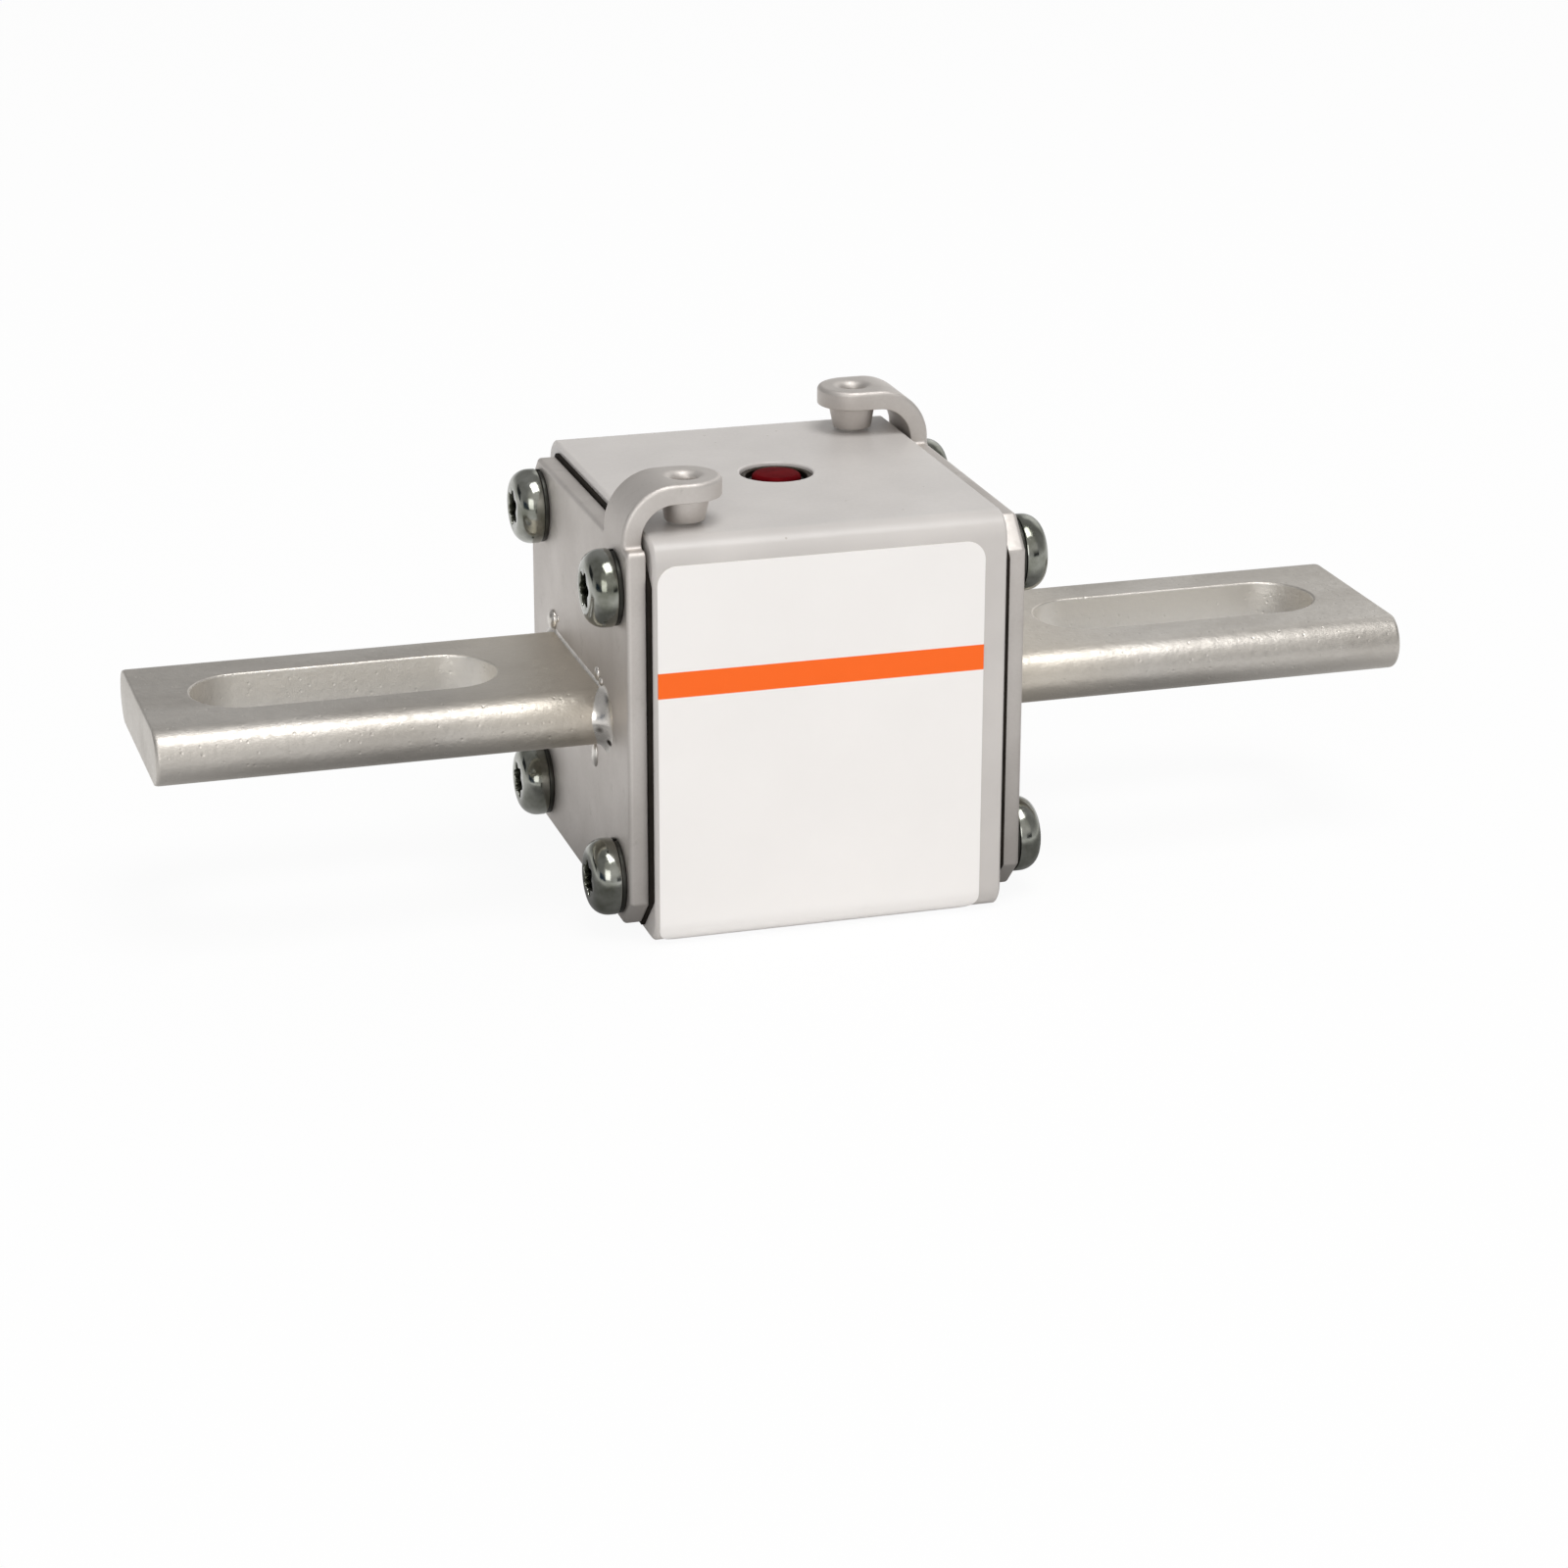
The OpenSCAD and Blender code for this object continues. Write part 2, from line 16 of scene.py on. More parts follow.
import bmesh
import bpy
import numpy as np
from mathutils import Matrix, Vector
from mathutils.geometry import delaunay_2d_cdt


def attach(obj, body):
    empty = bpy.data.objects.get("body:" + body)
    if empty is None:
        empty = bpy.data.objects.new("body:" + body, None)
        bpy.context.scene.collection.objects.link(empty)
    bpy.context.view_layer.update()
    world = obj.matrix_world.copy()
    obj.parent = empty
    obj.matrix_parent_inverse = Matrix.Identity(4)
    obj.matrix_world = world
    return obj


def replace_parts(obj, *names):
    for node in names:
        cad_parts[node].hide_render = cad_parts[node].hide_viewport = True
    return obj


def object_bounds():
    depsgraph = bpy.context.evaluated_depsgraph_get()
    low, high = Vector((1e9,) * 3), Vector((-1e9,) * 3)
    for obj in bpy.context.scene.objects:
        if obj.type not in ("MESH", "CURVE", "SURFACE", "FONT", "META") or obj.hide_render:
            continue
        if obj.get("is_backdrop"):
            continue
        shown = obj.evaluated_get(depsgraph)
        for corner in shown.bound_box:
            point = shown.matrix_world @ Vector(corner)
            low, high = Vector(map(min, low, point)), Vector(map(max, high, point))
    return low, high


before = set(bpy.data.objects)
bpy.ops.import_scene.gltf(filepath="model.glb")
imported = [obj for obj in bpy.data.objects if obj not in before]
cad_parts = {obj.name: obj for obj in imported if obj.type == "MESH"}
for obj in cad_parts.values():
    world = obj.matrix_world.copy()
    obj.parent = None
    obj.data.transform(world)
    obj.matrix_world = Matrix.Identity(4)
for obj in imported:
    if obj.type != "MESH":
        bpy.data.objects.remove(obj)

log = logging.getLogger("fuse")
Array = np.ndarray
Socket = bpy.types.NodeSocket
Triple = tuple[float, float, float]
Colour = Triple
MM = 0.001
FUSE = "fuse"
STRIKER = "trip_striker"
HOLD = 0.04  # width of the flat margin beside a rounded edge, which keeps the flat face's shading flat
NEARLY = 0.01  # least radius of a corner, and what a half round is short of, so that its arcs stay apart
MERGE = 0.0015  # points closer than this become one
SLIVER = 0.0005  # faces narrower than this are taken out
FIRST, SECOND, MIXED = 6, 7, 2  # places of a Mix node's two colours and of its result


class Side(Enum):
    """The two ends of the fuse. The left end is the right one turned half round the Z axis."""

    LEFT = -1
    RIGHT = 1

    def turn(self, points: Array) -> Array:
        """Points drawn for the right end, turned to this end."""
        return points * (self.value, self.value, 1)

    def node(self, part: str) -> str:
        """Name of this end's CAD node."""
        return f"{self.name.lower()}_{part}"


def quarter(steps: int) -> tuple[Array, Array]:
    """Cosines and sines of angles from 0 to 90 degrees, in even steps."""
    angle = np.linspace(0, math.pi / 2, steps + 1)
    return np.cos(angle), np.sin(angle)


def circle(radius: float, steps: int, centre: tuple[float, float] = (0, 0)) -> Array:
    """Points (cx + r cos a, cy + r sin a) of a circle, as a loop without its repeated last point."""
    angle = np.linspace(0, 2 * math.pi, steps, endpoint=False)
    return np.stack([centre[0] + radius * np.cos(angle), centre[1] + radius * np.sin(angle)], 1)


def rectangle(left: float, low: float, right: float, high: float) -> Array:
    """The four corners of a rectangle, anticlockwise."""
    return np.array([[left, low], [right, low], [right, high], [left, high]], float)


def outline(corners: Array, radii: float | Array, inset: float = 0.0, steps: int = 6) -> Array:
    """Loop round a polygon with rounded corners, drawn inwards by an inset.

    A corner moves by inset (n0 + n1) / (1 + n0 . n1), where n0 and n1 are the inward normals of its two
    edges. Its arc starts the tangent length rho tan(turn / 2) before the corner. The arc's radius rho
    is the corner's radius less the inset at an outer corner, and plus the inset at an inner one.

    Args:
        corners: Corners of the polygon, anticlockwise, of shape (n, 2).
        radii: Radius of every corner, or one for each.
        inset: Distance inwards, or outwards if it is negative.
        steps: Steps along each corner's arc.

    Returns:
        Points of shape (n * (steps + 1), 2), in the same order for every inset.
    """
    corners = np.asarray(corners, float)
    radii = np.broadcast_to(np.asarray(radii, float), len(corners))
    ahead = np.roll(corners, -1, 0) - corners
    ahead /= np.linalg.norm(ahead, axis=1, keepdims=True)
    behind = np.roll(ahead, 1, 0)
    inward = np.stack([-ahead[:, 1], ahead[:, 0]], 1)
    before = np.roll(inward, 1, 0)
    turn = np.arctan2(behind[:, 0] * ahead[:, 1] - behind[:, 1] * ahead[:, 0], (behind * ahead).sum(1))
    moved = corners + inset * (before + inward) / (1 + (before * inward).sum(1, keepdims=True))
    side = np.sign(turn)
    rho = np.maximum(radii - inset * side, NEARLY)
    start = moved - behind * (rho * np.tan(np.abs(turn) / 2))[:, None]
    spoke = -before * (rho * side)[:, None]
    centre = start - spoke
    angle = turn[:, None] * np.linspace(0, 1, steps + 1)
    x = centre[:, :1] + np.cos(angle) * spoke[:, :1] - np.sin(angle) * spoke[:, 1:]
    y = centre[:, 1:] + np.sin(angle) * spoke[:, :1] + np.cos(angle) * spoke[:, 1:]
    return np.stack([x, y], -1).reshape(-1, 2)


def lifted(loop: Array, height: float) -> Array:
    """A flat loop with its height as the third coordinate."""
    return np.column_stack([loop, np.full(len(loop), height)])


def revolved(profile: Array, steps: int = 72, lobes: Array | None = None) -> Array:
    """Grid of a profile turned round the third axis: (r cos a, r sin a, h).

    Args:
        profile: Radii and heights, of shape (n, 2).
        steps: Steps round the axis.
        lobes: Factors on the radius, of shape (n, steps), for a section that isn't round.

    Returns:
        Points of shape (n, steps, 3).
    """
    angle = np.linspace(0, 2 * math.pi, steps, endpoint=False)
    radius = profile[:, :1] * (np.ones((1, steps)) if lobes is None else lobes)
    height = np.broadcast_to(profile[:, 1:], radius.shape)
    return np.stack([radius * np.cos(angle), radius * np.sin(angle), height], -1)


def along_x(points: Array) -> Array:
    """Points (y, z, x) drawn across the fuse and along it, put in the order (x, y, z)."""
    return points[..., [2, 0, 1]]


def moved_by(points: Array, x: float, y: float, z: float) -> Array:
    """Points moved by a distance along each axis."""
    return points + np.array([x, y, z])


def within(points: Array, loops: list[Array]) -> Array:
    """Tells which points lie between an outline and its holes.

    A point is within if a line from it to the right crosses the loops an odd number of times.

    Args:
        points: Points of shape (n, 2).
        loops: The outline and its holes.

    Returns:
        Truth values of shape (n,).
    """
    starts = np.vstack(loops)
    ends = np.vstack([np.roll(loop, -1, 0) for loop in loops])
    level = points[:, 1:]
    crosses = (starts[:, 1] > level) != (ends[:, 1] > level)
    rise = np.where(starts[:, 1] == ends[:, 1], 1.0, ends[:, 1] - starts[:, 1])
    reach = starts[:, 0] + (level - starts[:, 1]) / rise * (ends[:, 0] - starts[:, 0])
    return (crosses & (points[:, :1] < reach)).sum(1) % 2 == 1


def math_node(tree: bpy.types.NodeTree, operation: str, *values: Socket | float) -> Socket:
    """Adds a Math node.

    Args:
        tree: Node tree of a material or of the surroundings.
        operation: What the node works out.
        values: What it works on, as sockets or numbers.

    Returns:
        Its result.
    """
    node = tree.nodes.new("ShaderNodeMath")
    node.operation = operation
    for socket, value in zip(node.inputs, values, strict=False):
        if isinstance(value, Socket):
            tree.links.new(value, socket)
        else:
            socket.default_value = value
    return node.outputs["Value"]


def range_node(
    tree: bpy.types.NodeTree, source: Socket, start: float, end: float, low: float = 0, high: float = 1
) -> Socket:
    """Maps values between start and end to values between low and high, and clamps the rest.

    Args:
        tree: Node tree of a material or of the surroundings.
        source: The values.
        start: Value that becomes low.
        end: Value that becomes high.
        low: Result at the start.
        high: Result at the end.

    Returns:
        The mapped values.
    """
    node = tree.nodes.new("ShaderNodeMapRange")
    for socket, value in zip(list(node.inputs)[1:5], (start, end, low, high), strict=True):
        socket.default_value = value
    tree.links.new(source, node.inputs["Value"])
    return node.outputs["Result"]


def mix_node(tree: bpy.types.NodeTree, factor: Socket, first: Colour | Socket, second: Colour) -> Socket:
    """Blends two colours.

    Args:
        tree: Node tree of a material or of the surroundings.
        factor: 0 where the first colour shows and 1 where the second one does.
        first: The first colour, as a socket or as numbers.
        second: The second colour.

    Returns:
        The blended colour.
    """
    node = tree.nodes.new("ShaderNodeMix")
    node.data_type = "RGBA"
    tree.links.new(factor, node.inputs["Factor"])
    if isinstance(first, Socket):
        tree.links.new(first, node.inputs[FIRST])
    else:
        node.inputs[FIRST].default_value = (*first, 1)
    node.inputs[SECOND].default_value = (*second, 1)
    return node.outputs[MIXED]


class Shell:
    """Grids and panels of points in millimetres that are joined into one closed skin."""

    def __init__(self) -> None:
        """Starts with no points."""
        self.points: list[Array] = []
        self.faces: list[list[int]] = []
        self.total = 0

    def _take(self, points: Array) -> int:
        """Keeps points.

        Args:
            points: Points whose last axis is (x, y, z).

        Returns:
            The number of the first one.
        """
        flat = points.reshape(-1, 3)
        self.points.append(flat)
        self.total += len(flat)
        return self.total - len(flat)

    def grid(self, points: Array, round_rows: bool = False, round_columns: bool = False) -> None:
        """Adds the quads between neighbouring points.

        Args:
            points: Points of shape (rows, columns, 3).
            round_rows: Joins the last row to the first.
            round_columns: Joins the last column to the first.
        """
        index = np.arange(points.shape[0] * points.shape[1]).reshape(points.shape[:2])
        index = index + self._take(points)
        if round_rows:
            index = np.vstack([index, index[:1]])
        if round_columns:
            index = np.hstack([index, index[:, :1]])
        quads = np.stack([index[:-1, :-1], index[1:, :-1], index[1:, 1:], index[:-1, 1:]], -1)
        self.faces += quads.reshape(-1, 4).tolist()

    def cap(self, loop: Array) -> None:
        """Adds one flat face inside a loop of shape (n, 3)."""
        first = self._take(loop)
        self.faces.append(list(range(first, first + len(loop))))

    def panel(
        self, loops: list[Array], place: Callable[[Array], Array], extra: Array | None = None
    ) -> None:
        """Adds the triangles between an outline and its holes.

        Args:
            loops: The outline and its holes in the plane, each of shape (n, 2).
            place: Puts points of the plane in their place in space.
            extra: More points of the plane that the triangles use.
        """
        edges, first = [], 0
        for loop in loops:
            index = np.arange(len(loop))
            edges += (np.stack([index, np.roll(index, -1)], 1) + first).tolist()
            first += len(loop)
        flat = np.vstack(loops if extra is None else [*loops, extra])
        found = delaunay_2d_cdt([Vector(p) for p in flat.tolist()], edges, [], 0, 1e-6, False)
        points = np.array([tuple(p) for p in found[0]])
        triangles = np.array(found[2])
        kept = triangles[within(points[triangles].mean(1), loops)]
        self.faces += (kept + self._take(place(points))).tolist()

    def build(
        self, name: str, body: str, finish: bpy.types.Material, sharp: float = 40
    ) -> bpy.types.Object:
        """Joins everything into one object that rides on a body.

        Args:
            name: Name of the piece.
            body: CAD body that it rides on.
            finish: Its material.
            sharp: Angle in degrees above which an edge is drawn sharp.

        Returns:
            The new object, with its place in its mesh.
        """
        mesh = bpy.data.meshes.new(name)
        mesh.from_pydata((np.vstack(self.points) * MM).tolist(), [], self.faces)
        work = bmesh.new()
        work.from_mesh(mesh)
        bmesh.ops.remove_doubles(work, verts=work.verts, dist=MERGE * MM)
        bmesh.ops.dissolve_degenerate(work, edges=work.edges, dist=SLIVER * MM)
        bmesh.ops.recalc_face_normals(work, faces=work.faces)
        open_edges = sum(1 for edge in work.edges if not edge.is_manifold)
        work.to_mesh(mesh)
        work.free()
        mesh.shade_smooth()
        mesh.set_sharp_from_angle(angle=math.radians(sharp))
        mesh.materials.append(finish)
        piece = bpy.data.objects.new(name, mesh)
        bpy.context.scene.collection.objects.link(piece)
        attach(piece, body)
        log.info("%s: %d faces, %d open edges", name, len(mesh.polygons), open_edges)
        return piece


class Surface:
    """Node tree of one finish: a Principled shader fed by noise on the piece's own coordinates."""

    def __init__(self, name: str, metallic: float, specular: float) -> None:
        """Makes the material with its shader.

        Args:
            name: Name of the material.
            metallic: 1 for bare metal and 0 for everything else.
            specular: Specular level of the shader.
        """
        self.material = bpy.data.materials.new(name)
        self.material.use_nodes = True
        self.tree = self.material.node_tree
        self.shader = self.tree.nodes["Principled BSDF"]
        self.fix("Metallic", metallic)
        self.fix("Specular IOR Level", specular)
        self.place = self.tree.nodes.new("ShaderNodeTexCoord").outputs["Object"]

    def link(self, source: Socket, target: Socket) -> None:
        """Joins two sockets."""
        self.tree.links.new(source, target)

    def fix(self, entry: str, value: float) -> None:
        """Gives one of the shader's inputs a number."""
        self.shader.inputs[entry].default_value = value

    def feed(self, entry: str, source: Socket) -> None:
        """Gives one of the shader's inputs a socket."""
        self.link(source, self.shader.inputs[entry])

    def noise(self, size: float, detail: float, stretch: Triple = (1, 1, 1), rough: float = 0.5) -> Socket:
        """Adds noise.

        Args:
            size: Size of its grains in millimetres.
            detail: How many finer layers it has.
            stretch: How far the grains are drawn out along each axis.
            rough: Strength of the finer layers.

        Returns:
            The noise, from 0 to 1.
        """
        turn = self.tree.nodes.new("ShaderNodeMapping")
        turn.inputs["Scale"].default_value = [1 / factor for factor in stretch]
        self.link(self.place, turn.inputs["Vector"])
        node = self.tree.nodes.new("ShaderNodeTexNoise")
        node.inputs["Scale"].default_value = 1 / (size * MM)
        node.inputs["Detail"].default_value = detail
        node.inputs["Roughness"].default_value = rough
        self.link(turn.outputs["Vector"], node.inputs["Vector"])
        return node.outputs["Fac"]

    def spots(self, size: float) -> Socket:
        """Adds scattered points.

        Args:
            size: About how far apart they lie, in millimetres.

        Returns:
            The distance to the nearest point, in multiples of that size.
        """
        node = self.tree.nodes.new("ShaderNodeTexVoronoi")
        node.inputs["Scale"].default_value = 1 / (size * MM)
        self.link(self.place, node.inputs["Vector"])
        return node.outputs["Distance"]

    def along(self, axis: str) -> Socket:
        """Coordinate along the axis X, Y or Z in metres."""
        node = self.tree.nodes.new("ShaderNodeSeparateXYZ")
        self.link(self.place, node.inputs["Vector"])
        return node.outputs[axis]

    def distance(self, centre: Triple) -> Socket:
        """Adds the distance from a point.

        Args:
            centre: The point, in millimetres.

        Returns:
            The distance in metres.
        """
        node = self.tree.nodes.new("ShaderNodeVectorMath")
        node.operation = "DISTANCE"
        self.link(self.place, node.inputs[0])
        node.inputs[1].default_value = [value * MM for value in centre]
        return node.outputs["Value"]

    def span(self, source: Socket, start: float, end: float, low: float = 0, high: float = 1) -> Socket:
        """Maps values between start and end to values between low and high, and clamps the rest."""
        return range_node(self.tree, source, start, end, low, high)

    def math(self, operation: str, *values: Socket | float) -> Socket:
        """Result of a Math node on sockets or numbers."""
        return math_node(self.tree, operation, *values)

    def blend(self, factor: Socket, first: Colour | Socket, second: Colour) -> Socket:
        """Colour that goes from the first to the second as the factor goes from 0 to 1."""
        return mix_node(self.tree, factor, first, second)

    def relief(self, layers: list[tuple[Socket, float]]) -> None:
        """Gives the shader bumps.

        Args:
            layers: Height and depth in millimetres of each layer, from the lowest one up.
        """
        below = None
        for height, depth in layers:
            node = self.tree.nodes.new("ShaderNodeBump")
            node.inputs["Distance"].default_value = depth * MM
            self.link(height, node.inputs["Height"])
            if below is not None:
                self.link(below, node.inputs["Normal"])
            below = node.outputs["Normal"]
        self.feed("Normal", below)


@dataclass(frozen=True)
class Finish:
    """A finish whose colour, gloss and relief follow noise.

    Attributes:
        name: Name of the material.
        light: Base colour where the noise is high.
        dark: Base colour where the noise is low.
        gloss: Roughness at both ends of the grain's noise.
        metallic: 1 for bare metal and 0 for everything else.
        patch: Size of the colour patches in millimetres.
        grain: Size of the fine grain in millimetres.
        depth: Depth of the grain in millimetres.
        swell: Depth of the patches, as a multiple of the grain's.
        stretch: How far the noise is drawn out along each axis.
        specular: Specular level of the shader.
        details: How many finer layers the patches and the grain have.
        rough: Strength of the grain's finer layers.
    """

    name: str
    light: Colour
    dark: Colour
    gloss: tuple[float, float]
    metallic: float = 1.0
    patch: float = 2.0
    grain: float = 0.2
    depth: float = 0.004
    swell: float = 1.5
    stretch: Triple = (1, 1, 1)
    specular: float = 0.5
    details: tuple[float, float] = (4, 3)
    rough: float = 0.6

    def material(self) -> bpy.types.Material:
        """Builds the node tree."""
        skin = Surface(self.name, self.metallic, self.specular)
        patch = skin.noise(self.patch, self.details[0], self.stretch)
        grain = skin.noise(self.grain, self.details[1], self.stretch, self.rough)
        base = skin.blend(skin.span(patch, 0.35, 0.65), self.dark, self.light)
        base, gloss = self.marked(skin, base, skin.span(grain, 0.3, 0.7, *self.gloss))
        skin.feed("Base Color", base)
        skin.feed("Roughness", gloss)
        skin.relief(self.layers(skin, patch, grain))
        return skin.material

    def marked(self, skin: Surface, base: Socket, gloss: Socket) -> tuple[Socket, Socket]:
        """Colour and roughness with the finish's own marks, of which the common one has none."""
        return base, gloss

    def layers(self, skin: Surface, patch: Socket, grain: Socket) -> list[tuple[Socket, float]]:
        """The relief's layers as (height, depth in millimetres), with the patches under the grain."""
        return [(patch, self.depth * self.swell), (grain, self.depth)]


@dataclass(frozen=True)
class PlatedFinish(Finish):
    """Satin silver plating with faint stains, soft ripples and small dents.

    Attributes:
        stain: Colour of the stains.
        ripple: Size of the ripples in millimetres.
        dent: About how far apart the dents lie, in millimetres.
    """

    swell: float = 3.0
    details: tuple[float, float] = (4, 4)
    rough: float = 0.65
    stain: Colour = (0.4, 0.38, 0.34)
    ripple: float = 1.4
    dent: float = 1.1

    def marked(self, skin: Surface, base: Socket, gloss: Socket) -> tuple[Socket, Socket]:
        """Adds the stains to the colour."""
        stains = skin.span(skin.noise(self.patch * 0.45, 5, rough=0.7), 0.6, 0.75, 0, 0.5)
        return skin.blend(stains, base, self.stain), gloss

    def layers(self, skin: Surface, patch: Socket, grain: Socket) -> list[tuple[Socket, float]]:
        """Puts the ripples between the patches and the grain, and the dents on top."""
        swell, fine = super().layers(skin, patch, grain)
        ripple = (skin.noise(self.ripple, 4, rough=0.6), self.depth * 3.5)
        dents = (skin.span(skin.spots(self.dent), 0, 0.18), self.depth * 2)
        return [swell, ripple, fine, dents]


@dataclass(frozen=True)
class BladeFinish(PlatedFinish):
    """Silver plating with a warm tint near the brazed root, painted lighter there as a painted reflection,
    and a slot wall painted pale as a painted reflection.

    Attributes:
        root: Colour next to the plate: a warm tint, lighter than the plating as a painted reflection.
        root_reach: Places along X in millimetres where that tint is full and where it ends.
        wall: Colour of the slot's wall, pale as a painted reflection.
        slot: Middle of the slot, half of its straight length and its radius, in millimetres.
    """

    root: Colour = (0.73, 0.67, 0.58)
    root_reach: tuple[float, float] = (23.0, 38.0)
    wall: Colour = (0.83, 0.8, 0.75)
    slot: Triple = (46.0, 10.5, 5.5)

    def marked(self, skin: Surface, base: Socket, gloss: Socket) -> tuple[Socket, Socket]:
        """Adds both tints over the stains; both lighten the colour as painted reflection.

        The wall is where sqrt(d^2 + y^2) is at most the slot's radius, with d = max(| |x| - middle | -
        half, 0).
        """
        base, gloss = super().marked(skin, base, gloss)
        full, none = (value * MM for value in self.root_reach)
        middle, half, radius = (value * MM for value in self.slot)
        far = skin.math("ABSOLUTE", skin.along("X"))
        # painted reflection: the zone next to the plate is painted warmer and lighter
        base = skin.blend(skin.span(far, full, none, 0.8, 0), base, self.root)
        beyond = skin.math("ABSOLUTE", skin.math("SUBTRACT", far, middle))
        beyond = skin.math("MAXIMUM", skin.math("SUBTRACT", beyond, half), 0.0)
        across = skin.along("Y")
        away = skin.math("MULTIPLY_ADD", across, across, skin.math("MULTIPLY", beyond, beyond))
        edge = skin.span(skin.math("SQRT", away), radius + 0.01 * MM, radius + 0.06 * MM, 1, 0)
        # painted reflection: the slot's wall is painted pale
        return skin.blend(edge, base, self.wall), gloss


@dataclass(frozen=True)
class BrazeFinish(Finish):
    """Brazing metal that goes dark and rough at a few spots.

    Attributes:
        scar: Colour of the dark spots.
        scars: Place (x, y, z) and radius of each dark spot, in millimetres.
    """

    swell: float = 3.0
    rough: float = 0.5
    scar: Colour = (0.035, 0.028, 0.022)
    scars: tuple[tuple[Triple, float], ...] = (((-22.4, -13.1, -0.6), 0.6), ((-21.3, -13.2, -1.9), 0.45))

    def marked(self, skin: Surface, base: Socket, gloss: Socket) -> tuple[Socket, Socket]:
        """Adds the dark spots to the colour and the roughness."""
        for centre, radius in self.scars:
            mark = skin.span(skin.distance(centre), 0.6 * radius * MM, 1.1 * radius * MM, 1, 0)
            base = skin.blend(mark, base, self.scar)
            gloss = skin.math("ADD", gloss, skin.span(mark, 0, 1, 0, 0.3))
        return base, gloss


@dataclass(frozen=True)
class CeramicFinish(Finish):
    """Fired ceramic with a satin skin, fine grain and a few dark specks.

    Attributes:
        speck: Colour of the specks.
        apart: About how far apart the specks lie, in millimetres.
        glaze: Strength of the faint glaze.
        glaze_gloss: Roughness of the glaze.
    """

    swell: float = 4.0
    rough: float = 0.5
    speck: Colour = (0.3, 0.26, 0.22)
    apart: float = 3.2
    glaze: float = 0.25
    glaze_gloss: float = 0.22

    def marked(self, skin: Surface, base: Socket, gloss: Socket) -> tuple[Socket, Socket]:
        """Adds the specks to the colour, and the glaze as the shader's coat."""
        skin.fix("Coat Weight", self.glaze)
        skin.fix("Coat Roughness", self.glaze_gloss)
        return skin.blend(skin.span(skin.spots(self.apart), 0.03, 0.05, 0.6, 0), base, self.speck), gloss


@dataclass(frozen=True)
class LabelFinish(Finish):
    """White film with one coloured band.

    Attributes:
        band: Colour of the band.
        band_low: Height of its lower edge in millimetres.
        band_high: Height of its upper edge in millimetres.
        soft: Half of the width over which its edges fade, in millimetres.
    """

    swell: float = 3.0
    details: tuple[float, float] = (3, 3)
    rough: float = 0.5
    band: Colour = (0.95, 0.135, 0.006)
    band_low: float = 5.25
    band_high: float = 7.95
    soft: float = 0.04

    def marked(self, skin: Surface, base: Socket, gloss: Socket) -> tuple[Socket, Socket]:
        """Adds the band where Z lies between its edges."""
        level = skin.along("Z")
        above = skin.span(level, (self.band_low - self.soft) * MM, (self.band_low + self.soft) * MM)
        below = skin.span(level, (self.band_high - self.soft) * MM, (self.band_high + self.soft) * MM, 1, 0)
        return skin.blend(skin.math("MULTIPLY", above, below), base, self.band), gloss


CERAMIC = CeramicFinish(
    "ceramic", (0.578, 0.548, 0.524), (0.535, 0.507, 0.485), (0.36, 0.48), metallic=0, patch=9, grain=0.35
)
LABEL_FILM = LabelFinish(
    "label_film", (0.865, 0.84, 0.82), (0.85, 0.825, 0.805), (0.36, 0.44),
    metallic=0, patch=12, grain=0.6, depth=0.002, specular=0.3,
)
PLATE_SILVER = PlatedFinish(
    "plated_plate", (0.64, 0.605, 0.575), (0.57, 0.535, 0.505), (0.5, 0.62), patch=8, grain=0.35, depth=0.006
)
BLADE_SILVER = BladeFinish(
    "plated_blade", (0.59, 0.56, 0.52), (0.49, 0.46, 0.42), (0.38, 0.54),
    patch=7, grain=0.4, depth=0.02, stretch=(2, 1, 1),
)
BRAZE_METAL = BrazeFinish(
    "braze_metal", (0.74, 0.71, 0.67), (0.6, 0.57, 0.53), (0.24, 0.38), patch=2.2, grain=0.5, depth=0.008
)
ZINC = Finish("zinc_screw", (0.36, 0.365, 0.335), (0.17, 0.175, 0.145), (0.1, 0.2), patch=2.5, grain=0.3)
# The washers' near black colour is partly painted shade: it stands in for the shadow ring under the screw
# heads.
WASHER_PAINTED_SHADE = Finish("dark_washer_painted_shade", (0.07, 0.07, 0.062), (0.04, 0.04, 0.035), (0.38, 0.5), depth=0.006)
# Near black gasket: partly painted shade for the dark gap between the body and each plate.
GASKET_AND_GAP_SHADE = Finish(
    "gasket_sheet", (0.018, 0.014, 0.011), (0.01, 0.008, 0.006), (0.75, 0.9),
    metallic=0, patch=3, grain=0.3, depth=0.02, specular=0.1,
)
DARK_BRASS = Finish("darkened_brass", (0.07, 0.05, 0.034), (0.035, 0.026, 0.02), (0.35, 0.5))
BLACK_PLASTIC = Finish("black_plastic", (0.02, 0.018, 0.018), (0.012, 0.011, 0.011), (0.4, 0.5), metallic=0)
RED_PLASTIC = Finish(
    "red_plastic", (0.12, 0.004, 0.006), (0.08, 0.002, 0.004), (0.34, 0.44),
    metallic=0, grain=0.3, depth=0.001, specular=0.005,
)
TURNED_BRASS = Finish("turned_brass", (0.75, 0.55, 0.25), (0.62, 0.43, 0.18), (0.22, 0.34), patch=3)
BARE_COPPER = Finish(
    "bare_copper", (0.78, 0.4, 0.26), (0.6, 0.28, 0.17), (0.28, 0.4), patch=4, grain=0.3, depth=0.005
)
ROLLED_SILVER = Finish(
    "rolled_silver", (0.88, 0.87, 0.84), (0.78, 0.77, 0.73), (0.18, 0.28),
    patch=5, grain=0.3, depth=0.002, stretch=(6, 1, 1),
)
